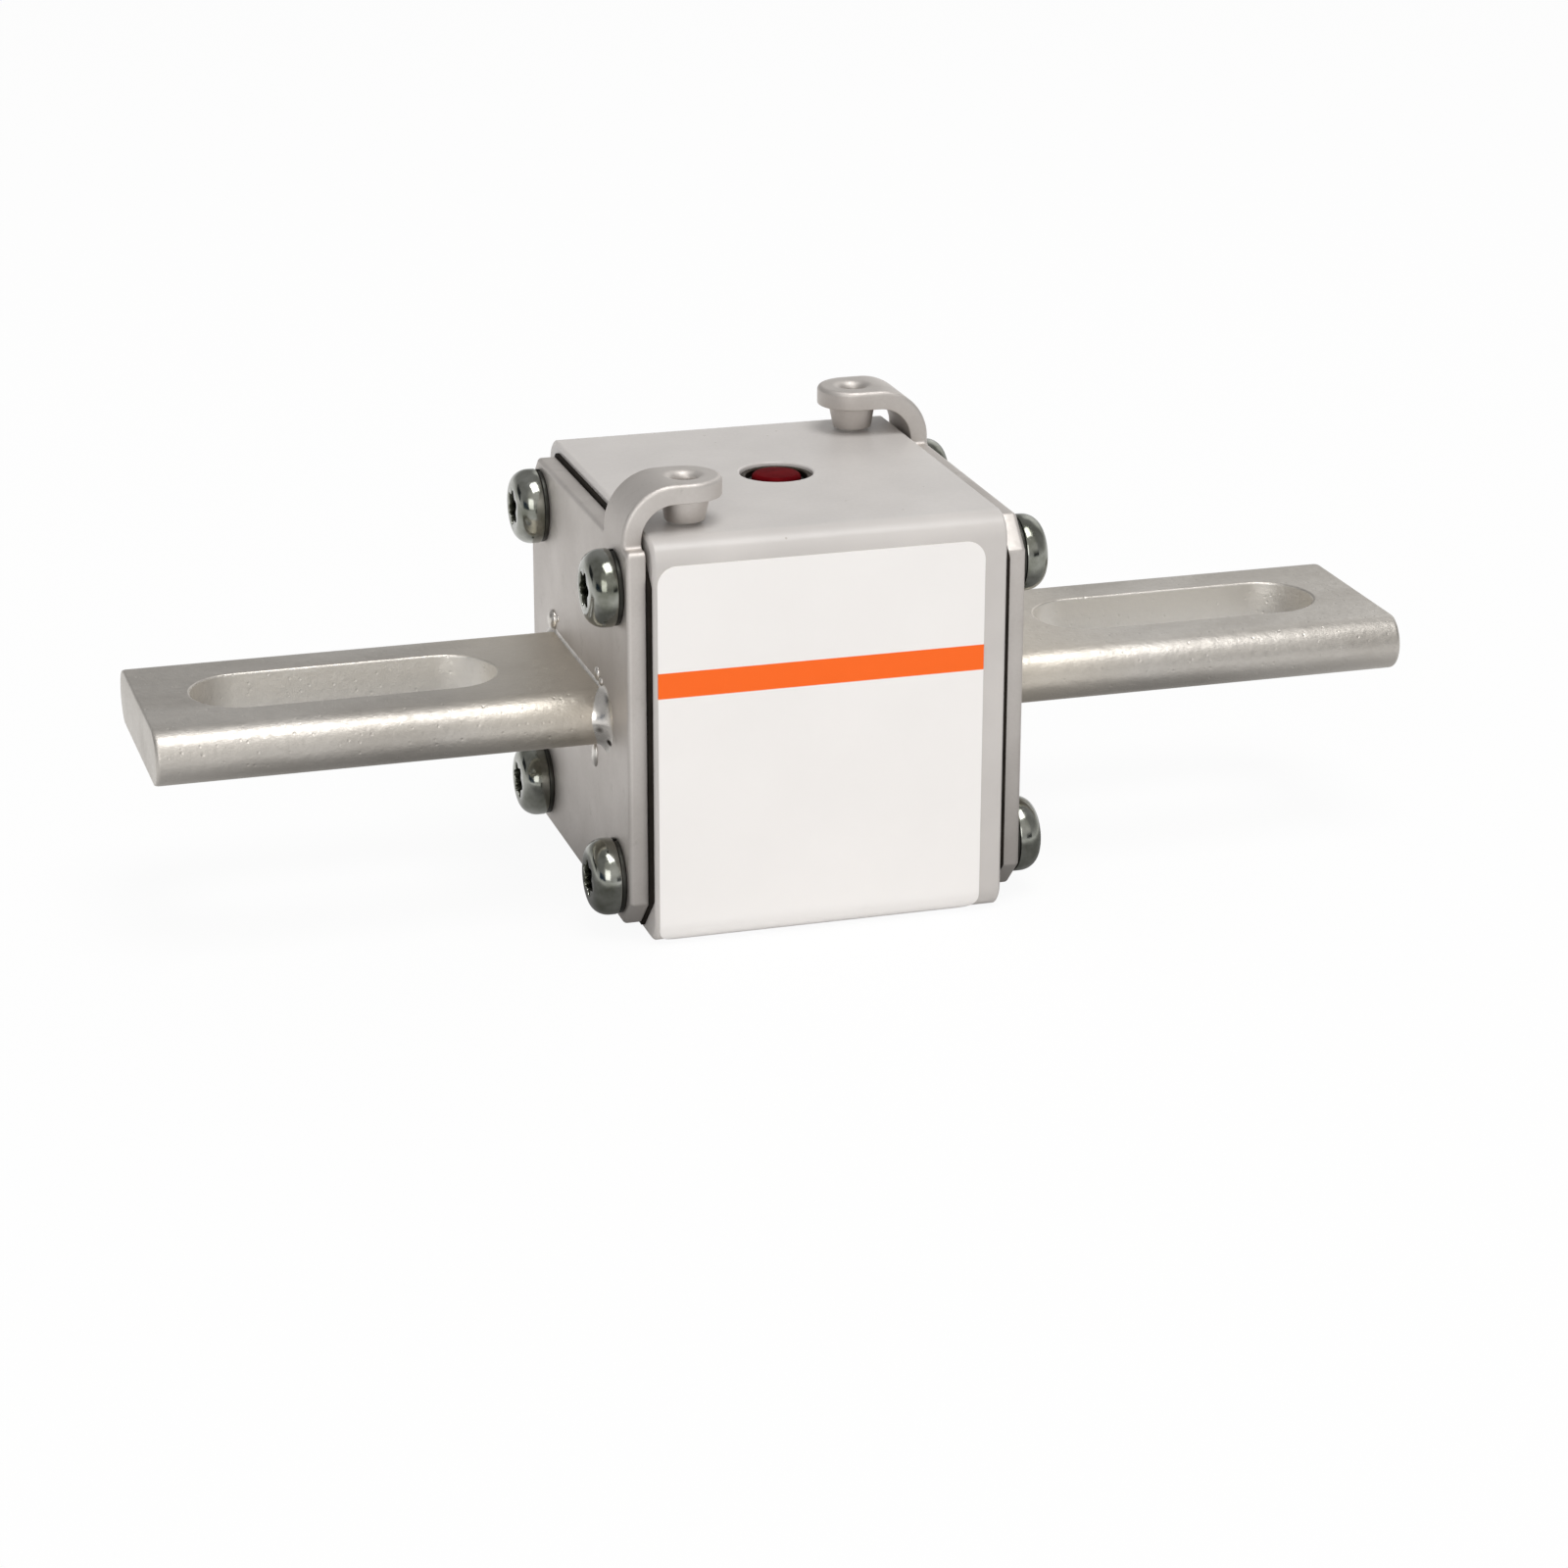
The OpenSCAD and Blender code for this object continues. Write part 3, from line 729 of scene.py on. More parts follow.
QUARTZ_SAND = Finish(
    "quartz_sand", (0.72, 0.65, 0.54), (0.5, 0.42, 0.32), (0.75, 0.95),
    metallic=0, patch=0.5, grain=0.35, depth=0.12,
)
TURNED_STEEL = Finish(
    "turned_steel", (0.55, 0.55, 0.54), (0.45, 0.45, 0.44), (0.22, 0.32), patch=3, depth=0.003
)
SPRING_STEEL = Finish(
    "spring_steel", (0.45, 0.45, 0.45), (0.3, 0.3, 0.3), (0.22, 0.34), grain=0.15, depth=0.003
)
RESISTANCE_WIRE = Finish(
    "resistance_wire", (0.42, 0.39, 0.34), (0.3, 0.27, 0.23), (0.3, 0.4), grain=0.15, depth=0.003
)


@dataclass(frozen=True)
class Layout:
    """Sizes that several pieces share, in millimetres.

    Attributes:
        body_half: Half of the body's width and height.
        body_end: Place of the body's end face.
        chamber_half: Half of the width of the chamber through the body and the gaskets.
        chamber_radius: Radius of the chamber's corners.
        well_centre: Axis (x, y) of the indicator and its well.
        plate_inner: Place of an end plate's inner face.
        plate_thickness: Thickness of an end plate.
        screw_offset: Distance of each screw's axis from both middle planes.
        screw_hole: Radius of the holes that the screws pass through.
    """

    body_half: float = 21.5
    body_end: float = 18.7
    chamber_half: float = 14.0
    chamber_radius: float = 8.0
    well_centre: tuple[float, float] = (0.7, 0.6)
    plate_inner: float = 19.1
    plate_thickness: float = 2.0
    screw_offset: float = 15.5
    screw_hole: float = 2.25

    @property
    def plate_outer(self) -> float:
        """Place of an end plate's outer face."""
        return self.plate_inner + self.plate_thickness

    def screws(self) -> list[tuple[float, float]]:
        """The four screw axes (y, z)."""
        return [(u * self.screw_offset, v * self.screw_offset) for u in (-1, 1) for v in (-1, 1)]

    def screw_holes(self) -> list[Array]:
        """Loops round the four screw holes."""
        return [circle(self.screw_hole, 32, place) for place in self.screws()]


LAYOUT = Layout()


@dataclass
class CeramicBody:
    """The square ceramic tube with its indicator well."""

    half: float = LAYOUT.body_half
    end: float = LAYOUT.body_end
    edge_radius: float = 2.5
    rim_axial: float = 0.3
    rim_radial: float = 0.4
    rim_soft: float = 0.06
    rim_narrowing: float = 0.6
    chamber_half: float = LAYOUT.chamber_half
    chamber_radius: float = LAYOUT.chamber_radius
    well_centre: tuple[float, float] = LAYOUT.well_centre
    well_radius: float = 3.85
    well_round: float = 0.28
    well_depth: float = 5.6
    well_steps: int = 96
    arc_steps: int = 10

    def section(self, half: float, radius: float) -> Array:
        """Draws a rounded square in Y and Z, with a flat margin on both sides of each corner's arc.

        Args:
            half: Half of its width.
            radius: Radius of its corners.

        Returns:
            Its loop, which starts at the lower front corner.
        """
        loop = outline(rectangle(-half, -half, half, half), radius, steps=self.arc_steps)
        loop = loop.reshape(4, self.arc_steps + 1, 2)
        ahead = np.array([[1, 0], [0, 1], [-1, 0], [0, -1]], float)
        before = loop[:, :1] - HOLD * np.roll(ahead, 1, 0)[:, None]
        after = loop[:, -1:] + HOLD * ahead[:, None]
        return np.concatenate([before, loop, after], 1).reshape(-1, 2)

    def rings(self) -> Array:
        """Sections (y, z, x) along the right end's rim, whose chamfer has softened edges.

        A section drawn in by s has corners of the edge radius less a share of s.
        """
        rim, soft = self.rim_axial, self.rim_soft
        slope = self.rim_radial / rim
        stations = [
            (self.end, self.rim_radial + soft + HOLD),
            (self.end, self.rim_radial + soft),
            (self.end - soft, self.rim_radial - soft * slope),
            (self.end - rim + soft, soft * slope),
            (self.end - rim - soft, 0.0),
            (self.end - rim - soft - HOLD, 0.0),
        ]
        rings = [
            lifted(self.section(self.half - s, self.edge_radius - self.rim_narrowing * s), x)
            for x, s in stations
        ]
        return np.stack(rings)

    def build(self) -> bpy.types.Object:
        """Builds the skin with its rims, the end faces, the chamber, the top panel and the well.

        Returns:
            The dressed piece.
        """
        shell = Shell()
        right = along_x(self.rings())
        left = right * (-1, 1, 1)
        chamber = self.section(self.chamber_half, self.chamber_radius)
        inner = along_x(np.stack([lifted(chamber, -self.end), lifted(chamber, self.end)]))
        for rim in (right, left):
            shell.grid(rim, round_columns=True)
        shell.grid(np.stack([left[0], inner[0], inner[1], right[0]]), round_columns=True)
        # The loop starts at the lower front corner, so the top face lies between its third and fourth one
        per_corner = self.arc_steps + 3
        front, back = 3 * per_corner, 3 * per_corner - 1
        skin = np.stack([right[-1], left[-1]])
        shell.grid(np.roll(skin, -front, 1))
        top = np.array([skin[0, back], skin[0, front], skin[1, front], skin[1, back]])[:, :2]
        mouth = circle(self.well_radius + self.well_round + HOLD, self.well_steps, self.well_centre)
        shell.panel([top, mouth], lambda flat: lifted(flat, self.half))
        shell.grid(moved_by(self.well(), *self.well_centre, self.half), round_columns=True)
        piece = shell.build("ceramic_body_skin", FUSE, CERAMIC.material(), sharp=50)
        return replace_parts(piece, "ceramic_body")

    def well(self) -> Array:
        """Rounded mouth, wall and floor of the well, as a revolved profile below the top face."""
        cosines, sines = quarter(5)
        mouth = self.well_radius + self.well_round
        rounding = np.stack([mouth - self.well_round * sines, self.well_round * (cosines - 1)], 1)
        floor = [(self.well_radius, -self.well_depth), (0, -self.well_depth)]
        return revolved(np.vstack([[(mouth + HOLD, 0)], rounding, floor]), self.well_steps)


@dataclass
class Gasket:
    """The sealing sheet between the body and an end plate, which stands out a little beyond the plate. Its
    near black colour is partly painted shade, standing in for the dark gap between body and plate.

    Its four corners are cut, as the plate's three are that have no lug.
    """

    side: Side
    gap: float = 0.03
    half_width: float = 21.05
    half_height: float = 20.7
    corner_cut: float = 3.95
    corner_round: float = 0.5
    window_half: float = LAYOUT.chamber_half
    window_radius: float = LAYOUT.chamber_radius

    def build(self) -> bpy.types.Object:
        """Builds both faces, the outer edge and the walls of the window and the screw holes.

        Returns:
            The dressed piece.
        """
        wide, high, cut = self.half_width, self.half_height, self.corner_cut
        corner = np.array([(wide, high - cut), (wide - cut, high)])
        across = corner[::-1] * (-1, 1)
        octagon = np.vstack([corner, across, -corner, -across])
        half = self.window_half
        window = outline(rectangle(-half, -half, half, half), self.window_radius, steps=10)
        loops = [outline(octagon, self.corner_round), window, *LAYOUT.screw_holes()]
        shell = Shell()
        levels = (LAYOUT.body_end + self.gap, LAYOUT.plate_inner - self.gap)
        for level in levels:
            shell.panel(loops, lambda flat, level=level: self.side.turn(along_x(lifted(flat, level))))
        for loop in loops:
            wall = np.stack([lifted(loop, level) for level in levels])
            shell.grid(self.side.turn(along_x(wall)), round_columns=True)
        # near black finish, partly painted shade for the gap between body and plate
        piece = shell.build(self.side.node("gasket_sheet"), FUSE, GASKET_AND_GAP_SHADE.material(), sharp=30)
        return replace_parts(piece, self.side.node("gasket"))


@dataclass
class Label:
    """The film on the front face, which follows the bottom edge round."""

    body: CeramicBody
    left: float = -18.3
    right: float = 16.2
    thickness: float = 0.15
    corner_radius: float = 2.0
    wrap: float = 60.0
    row: float = 0.2

    def wrapped(self, x: Array, depth: Array, lift: float) -> Array:
        """Lays the film on the body.

        A point at a depth below the film's top edge lies on the front face down to the start of the
        bottom edge. Past it, the point turns round that edge by the angle (depth - flat) / radius.

        Args:
            x: Places along the fuse.
            depth: Depths below the film's top edge, measured along the film.
            lift: Distance from the body's face.

        Returns:
            The points (x, y, z).
        """
        radius = self.body.edge_radius
        top = self.body.half - radius
        angle = np.maximum(depth - 2 * top, 0) / radius
        y = -top - (radius + lift) * np.cos(angle)
        z = top - np.minimum(depth, 2 * top) - (radius + lift) * np.sin(angle)
        return np.stack([x, y, z], -1)

    def rows(self) -> tuple[Array, Array]:
        """Depths of the rows, and how far each row's ends are drawn in by the corners' arcs."""
        flat = 2 * (self.body.half - self.body.edge_radius)
        length = flat + self.body.edge_radius * math.radians(self.wrap)
        cosines, sines = quarter(10)
        near, drawn = self.corner_radius * (1 - cosines), self.corner_radius * (1 - sines)
        turning = np.arange(flat + self.row, length - self.corner_radius, self.row)
        between = np.concatenate([[flat - self.row, flat], turning])
        depth = np.concatenate([near, between, length - near[::-1]])
        return depth, np.concatenate([drawn, np.zeros(len(between)), drawn[::-1]])

    def build(self) -> bpy.types.Object:
        """Builds the film's outer and inner skins and the strip round its edge.

        Returns:
            The dressed piece.
        """
        depth, drawn = self.rows()
        share = np.linspace(0, 1, 9)
        low, high = self.left + drawn, self.right - drawn
        x = low[:, None] + (high - low)[:, None] * share
        depth = np.broadcast_to(depth[:, None], x.shape)
        skins = [self.wrapped(x, depth, lift) for lift in (self.thickness, 0)]
        shell = Shell()
        for skin in skins:
            shell.grid(skin)
        edge = [
            np.concatenate([skin[0], skin[1:, -1], skin[-1, -2::-1], skin[-2:0:-1, 0]]) for skin in skins
        ]
        shell.grid(np.stack(edge), round_columns=True)
        piece = shell.build("label_film", FUSE, LABEL_FILM.material(), sharp=30)
        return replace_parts(piece, "label")


@dataclass
class EndPlate:
    """A stamped end plate whose switch lug is bent in over the body and has a drawn, tapped collar.

    The sheet is drawn flat, with u across and s up the plate and on along the lug, and then bent.
    """

    side: Side
    inner: float = LAYOUT.plate_inner
    thickness: float = LAYOUT.plate_thickness
    half: float = 20.3
    corner_cut: float = 3.1
    corner_round: float = 0.5
    full_corner_round: float = 0.65
    lug_root_round: float = 0.4
    edge_radius: float = 0.5
    burr_radius: float = 0.12
    lug_centre: float = 14.9
    lug_width: float = 7.6
    lug_top: float = 26.45
    bend_inner: float = 3.5
    hole_x: float = 13.6
    hole_radius: float = 1.25
    mouth_radius: float = 0.9
    collar_radius: float = 2.1
    collar_root: float = 2.5
    collar_length: float = 2.6
    collar_flare: float = 0.5
    collar_soft: float = 0.2
    thread_pitch: float = 0.5
    thread_depth: float = 0.12
    bend_steps: int = 22
    corner_steps: int = 9
    hole_steps: int = 64

    def __post_init__(self) -> None:
        """Works out where the bend starts and ends, and where the hole lies along the flat sheet."""
        self.bend_start = self.lug_top - self.thickness - self.bend_inner
        self.bend_length = (self.bend_inner + self.thickness / 2) * math.pi / 2
        self.hole_s = self.bend_start + self.bend_length + self.inner - self.bend_inner - self.hole_x

    def bent(self, flat: Array, level: float | Array) -> Array:
        """Bends the flat sheet.

        A point (u, s) at a level above the inner face goes straight up to the bend. There it turns by
        the angle a = (s - start) / middle radius, to the radius inner + level. Past the bend it runs
        level, over the body.

        Args:
            flat: Points (u, s) of the flat sheet.
            level: Their heights above the inner face.

        Returns:
            The points (x, y, z) on this end of the fuse.
        """
        past = flat[..., 1] - self.bend_start
        angle = np.clip(past / (self.bend_length / (math.pi / 2)), 0, math.pi / 2)
        radius = self.bend_inner + level
        x = self.inner - self.bend_inner + radius * np.cos(angle) - np.maximum(past - self.bend_length, 0)
        z = np.minimum(flat[..., 1], self.bend_start) + radius * np.sin(angle)
        return self.side.turn(np.stack([x, flat[..., 0], z], -1))

    def edge(self, inset: float) -> Array:
        """Draws the outline of the flat sheet, with rows of points along both sides of the lug.

        Args:
            inset: Distance inwards from the sheet's edge.

        Returns:
            The loop (u, s), anticlockwise from the lower corner on the side without the lug.
        """
        half, cut, r, root = self.half, self.half - self.corner_cut, self.corner_round, self.lug_root_round
        near, far = self.lug_centre - self.lug_width / 2, self.lug_centre + self.lug_width / 2
        tip = self.hole_s + self.lug_width / 2
        corners = [(-cut, -half), (cut, -half), (half, -cut), (half, half), (far, half)]
        corners += [(far, tip), (near, tip), (near, half), (-cut, half), (-half, cut), (-half, -cut)]
        round_tip = self.lug_width / 2 - 2 * NEARLY
        radii = [r, r, r, self.full_corner_round, root, round_tip, round_tip, root, r, r, r]
        steps = self.corner_steps
        loop = outline(np.array(corners), np.array(radii), inset, steps)
        rows = self.rows()[2:]
        up = np.stack([np.full(len(rows), far - inset), rows], 1)
        down = np.stack([np.full(len(rows), near + inset), rows[::-1]], 1)
        first, second = 5 * (steps + 1), 7 * (steps + 1)
        return np.vstack([loop[:first], up, loop[first:second], down, loop[second:]])

    def rows(self) -> Array:
        """Places along the sheet where the lug's bend has a row of points."""
        bend = np.linspace(self.bend_start, self.bend_start + self.bend_length, self.bend_steps + 1)
        return np.concatenate([[bend[0] - 0.2], bend, [bend[-1] + 0.2]])

    def face(self, shell: Shell, inset: float, level: float, hole: float) -> None:
        """Adds the inner or the outer face of the sheet, with its holes.

        Args:
            shell: Skin that the face belongs to.
            inset: Distance of the face's border from the sheet's outline.
            level: Height above the inner face.
            hole: Radius of the lug hole in this face.
        """
        centre = (self.lug_centre, self.hole_s)
        reach = self.lug_width / 2 - inset - 0.4
        across = np.linspace(self.lug_centre - reach, self.lug_centre + reach, 9)
        extra = np.stack(np.meshgrid(across, self.rows()), -1).reshape(-1, 2)
        extra = extra[np.hypot(*(extra - centre).T) > hole + 0.2]
        loops = [self.edge(inset), *LAYOUT.screw_holes(), circle(hole, self.hole_steps, centre)]
        shell.panel(loops, lambda flat: self.bent(flat, level), extra)

    def border(self, shell: Shell) -> None:
        """Adds the sheet's edge: rounded towards the outer face, and nearly sharp towards the inner one.

        Args:
            shell: Skin that the edge belongs to.
        """
        cosines, sines = quarter(6)
        radius, burr, top = self.edge_radius, self.burr_radius, self.thickness
        outer = np.stack([radius * (1 - sines), top - radius * (1 - cosines)], 1)
        inner = np.stack([burr * (1 - cosines), burr * (1 - sines)], 1)
        profile = [(radius + HOLD, top), *outer, *inner, (burr + HOLD, 0)]
        rings = [self.bent(self.edge(inset), level) for inset, level in profile]
        shell.grid(np.stack(rings), round_columns=True)

    def collar(self) -> Array:
        """Mouth, thread and collar of the lug hole, revolved round the hole's axis.

        The thread's radius is r + depth |2 fraction(h / pitch + a / 2 pi) - 1|.
        """
        cosines, sines = quarter(8)
        radius, mouth, flare = self.hole_radius, self.mouth_radius, self.collar_flare
        wall, root, soft = self.collar_radius, self.collar_root, self.collar_soft
        top, low = self.thickness, -self.collar_length
        opening = np.stack([radius + mouth * (1 - sines), top - mouth * (1 - cosines)], 1)
        thread = np.arange(top - mouth - 0.1, low + 0.15, -self.thread_pitch / 6)
        thread = np.stack([np.full(len(thread), radius), thread], 1)
        end = [(radius + 0.1, low), (wall - 0.75 * soft, low)]
        end += [(wall - 0.2 * soft, low + 0.25 * soft), (wall, low + soft)]
        under = np.stack([root + flare * (1 - cosines), flare * (sines - 1)], 1)
        inside = [[(radius + mouth + HOLD, top)], opening, thread]
        profile = np.vstack([*inside, end, under, [(root + flare + HOLD, 0)]])
        turn = np.arange(self.hole_steps) / self.hole_steps
        ridge = np.abs(2 * np.mod(profile[:, 1:] / self.thread_pitch + turn, 1) - 1) * self.thread_depth
        first = 1 + len(opening)
        ridge[:first] = 0
        ridge[first + len(thread) :] = 0
        return revolved(profile, self.hole_steps, 1 + ridge / profile[:, :1])

    def build(self) -> bpy.types.Object:
        """Builds both faces, the edge, the lug hole and the walls of the screw holes.

        Returns:
            The dressed piece.
        """
        shell = Shell()
        top, mouth = self.thickness, self.hole_radius + self.mouth_radius
        self.face(shell, self.edge_radius + HOLD, top, mouth + HOLD)
        self.face(shell, self.burr_radius + HOLD, 0, self.collar_root + self.collar_flare + HOLD)
        self.border(shell)
        collar = moved_by(self.collar(), self.lug_centre, self.hole_s, 0)
        shell.grid(self.bent(collar[..., :2], collar[..., 2]), round_columns=True)
        for hole in LAYOUT.screw_holes():
            shell.grid(np.stack([self.bent(hole, level) for level in (0, top)]), round_columns=True)
        piece = shell.build(self.side.node("plate_with_lug"), FUSE, PLATE_SILVER.material(), sharp=45)
        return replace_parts(piece, self.side.node("end_plate"))


@dataclass
class Blade:
    """A flat bar with full-round long edges and a bolt slot."""

    side: Side
    start: float = LAYOUT.plate_outer
    end: float = 67.5
    half_width: float = 12.5
    thickness: float = 6.0
    corner_radius: float = 0.5
    start_radius: float = 0.05
    end_chamfer: float = 0.25
    slot_middle: float = 46.0
    slot_length: float = 32.0
    slot_width: float = 11.0
    round_steps: int = 48

    def ring(self, level: float, inset: float = 0.0) -> Array:
        """Draws the outline (x, y, z) of the bar at a level.

        The long edges lie at w - r + sqrt(r^2 - z^2), with r half the thickness. The end face moves in
        by c - sqrt(c^2 - (|z| - r + c)^2) once the level is within the chamfer c of the flat face.

        Args:
            level: Height z above the middle plane.
            inset: Distance inwards.

        Returns:
            The loop, for the right end.
        """
        r, c = self.thickness / 2, self.end_chamfer
        width = self.half_width - r + math.sqrt(max(r * r - level * level, 0)) - inset
        beyond = min(max(abs(level) - r + c, 0), c)
        end = self.end - c + math.sqrt(c * c - beyond * beyond) - inset
        corners = rectangle(self.start, -width, end, width)
        near, far = self.start_radius, self.corner_radius
        return lifted(outline(corners, np.array([near, far, far, near])), level)

    def slot(self, grow: float, level: float) -> Array:
        """Draws the outline of the slot.

        Args:
            grow: Distance outwards from the slot's wall.
            level: Height z of the outline.

        Returns:
            The loop (x, y, z), for the right end.
        """
        x, y = self.slot_length / 2, self.slot_width / 2
        corners = rectangle(self.slot_middle - x, -y, self.slot_middle + x, y)
        return lifted(outline(corners, y - NEARLY, -grow, 16), level)

    def build(self) -> bpy.types.Object:
        """Builds the rounded sides, both flat faces and the slot's wall with its broken edges.

        Returns:
            The dressed piece.
        """
        r, c = self.thickness / 2, self.end_chamfer
        levels = r * np.sin(np.linspace(-math.pi / 2, math.pi / 2, self.round_steps + 1))
        rings = [self.ring(-r, HOLD), *(self.ring(level) for level in levels), self.ring(r, HOLD)]
        shell = Shell()
        turned = self.side.turn
        shell.grid(turned(np.stack(rings)), round_columns=True)
        for face, ring in ((-r, rings[0]), (r, rings[-1])):
            loops = [ring[:, :2], self.slot(c + HOLD, 0)[:, :2]]
            shell.panel(loops, lambda flat, face=face: turned(lifted(flat, face)))
        cosines, sines = quarter(5)
        upper = [(c + HOLD, r), *zip(c * (1 - sines), r - c * (1 - cosines), strict=True)]
        wall = upper + [(grow, -level) for grow, level in upper[::-1]]
        shell.grid(turned(np.stack([self.slot(grow, level) for grow, level in wall])), round_columns=True)
        piece = shell.build(self.side.node("blade_bar"), FUSE, BLADE_SILVER.material(), sharp=45)
        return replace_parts(piece, self.side.node("blade"))


@dataclass
class Braze:
    """The uneven brazed fillet round the root of a blade, with a few beads that ran on to the plate.

    Attributes:
        side: End of the fuse.
        blade: The blade.
        leg: Width of the fillet round the blade's long edges.
        flat_share: Share of that width along the flat faces.
        sink: How far the fillet reaches into the metal.
        bulge: How far its hollow curve bulges, as a share of its width.
        waves: Numbers of waves round the blade in its width.
        heights: Heights of those waves, as shares of its width.
        seed: Seed of the waves' random places, to which the side's value is added.
        beads: Place (y, z), radius and stretch of each bead.
    """

    side: Side
    blade: Blade
    leg: float = 1.6
    flat_share: float = 0.17
    sink: float = 0.25
    bulge: float = 0.1
    waves: tuple[int, ...] = (2, 5, 9)
    heights: tuple[float, ...] = (0.08, 0.06, 0.03)
    seed: int = 3
    beads: tuple[tuple[float, float, float, float], ...] = ()

    def build(self) -> bpy.types.Object:
        """Builds the fillet as a ring round the blade, and the beads.

        A section runs from the plate at distance leg f(a) out from the blade, along the hollow curve
        (1 - sin t + bulge sin 2t, 1 - cos t + bulge sin 2t), to the blade at about the same distance
        out from the plate. Then it closes inside the metal. The factor f(a) is the share on the flat
        faces, rising to 1 round the edges, times 1 and a sum of three sines round the ring.

        Returns:
            The dressed piece.
        """
        half, r = self.blade.half_width, self.blade.thickness / 2
        steps = 24
        arcs = outline(rectangle(-half, -r, half, r), r - NEARLY, steps=steps).reshape(4, steps + 1, 2)
        share = np.linspace(0, 1, 41)[1:-1, None]
        below = arcs[0, -1] + (arcs[1, 0] - arcs[0, -1]) * share
        above = arcs[2, -1] + (arcs[3, 0] - arcs[2, -1]) * share
        base = np.vstack([arcs[0], below, arcs[1], arcs[2], above, arcs[3]])
        flat = np.clip(base[:, :1], -(half - r), half - r)
        normal = np.column_stack([base[:, :1] - flat, base[:, 1:]])
        normal /= np.linalg.norm(normal, axis=1, keepdims=True)
        angle = np.linspace(0, 2 * math.pi, len(base), endpoint=False)[:, None]
        phases = np.random.default_rng(self.seed + self.side.value).uniform(0, 2 * math.pi, (2, 3))
        waves, heights = np.array(self.waves), np.array(self.heights)
        share = self.flat_share + (1 - self.flat_share) * np.abs(normal[:, 0])
        out, along = (self.leg * share * (1 + (heights * np.sin(angle * waves + p)).sum(1)) for p in phases)
        curve = np.linspace(0, math.pi / 2, 11)
        hollow = np.stack([1 - np.sin(curve), 1 - np.cos(curve)], 1)
        hollow += self.bulge * np.sin(2 * curve)[:, None]
        inside = np.full(len(base), -self.sink)
        rows = [(out * h[0], along * h[1]) for h in hollow]
        rows += [(inside, along), (inside, inside), (out, inside)]
        start = self.blade.start
        points = [np.column_stack([start + height, base + normal * away[:, None]]) for away, height in rows]
        shell = Shell()
        shell.grid(self.side.turn(np.stack(points)), round_rows=True, round_columns=True)
        for bead in self.beads:
            shell.grid(self.bead(*bead), round_columns=True)
        piece = shell.build(self.side.node("braze_fillet"), FUSE, BRAZE_METAL.material(), sharp=60)
        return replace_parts(piece, self.side.node("blade_braze"))

    def bead(self, y: float, z: float, radius: float, tall: float) -> Array:
        """Draws a flattened drop (r sin t, 0.6 r cos t) on the plate.

        Args:
            y: Its place across the fuse, which isn't turned with the end.
            z: Its height.
            radius: Its radius.
            tall: How far it is drawn out up and down.

        Returns:
            Its points (x, y, z).
        """
        polar = np.linspace(0, math.pi, 13)
        drop = revolved(np.stack([radius * np.sin(polar), 0.6 * radius * np.cos(polar)], 1), 24)
        drop *= (1, tall, 1)
        return self.side.turn(moved_by(along_x(drop), self.blade.start, self.side.value * y, z))


# The beads and the drip on the left plate
LEFT_BEADS = (
    (10.8, 4.1, 1.1, 1.0),
    (9.0, 4.7, 0.4, 1.0),
    (-8.1, 4.0, 0.6, 1.3),
    (-9.6, 3.6, 0.45, 1.0),
    (-6.8, -5.3, 0.7, 1.9),
)


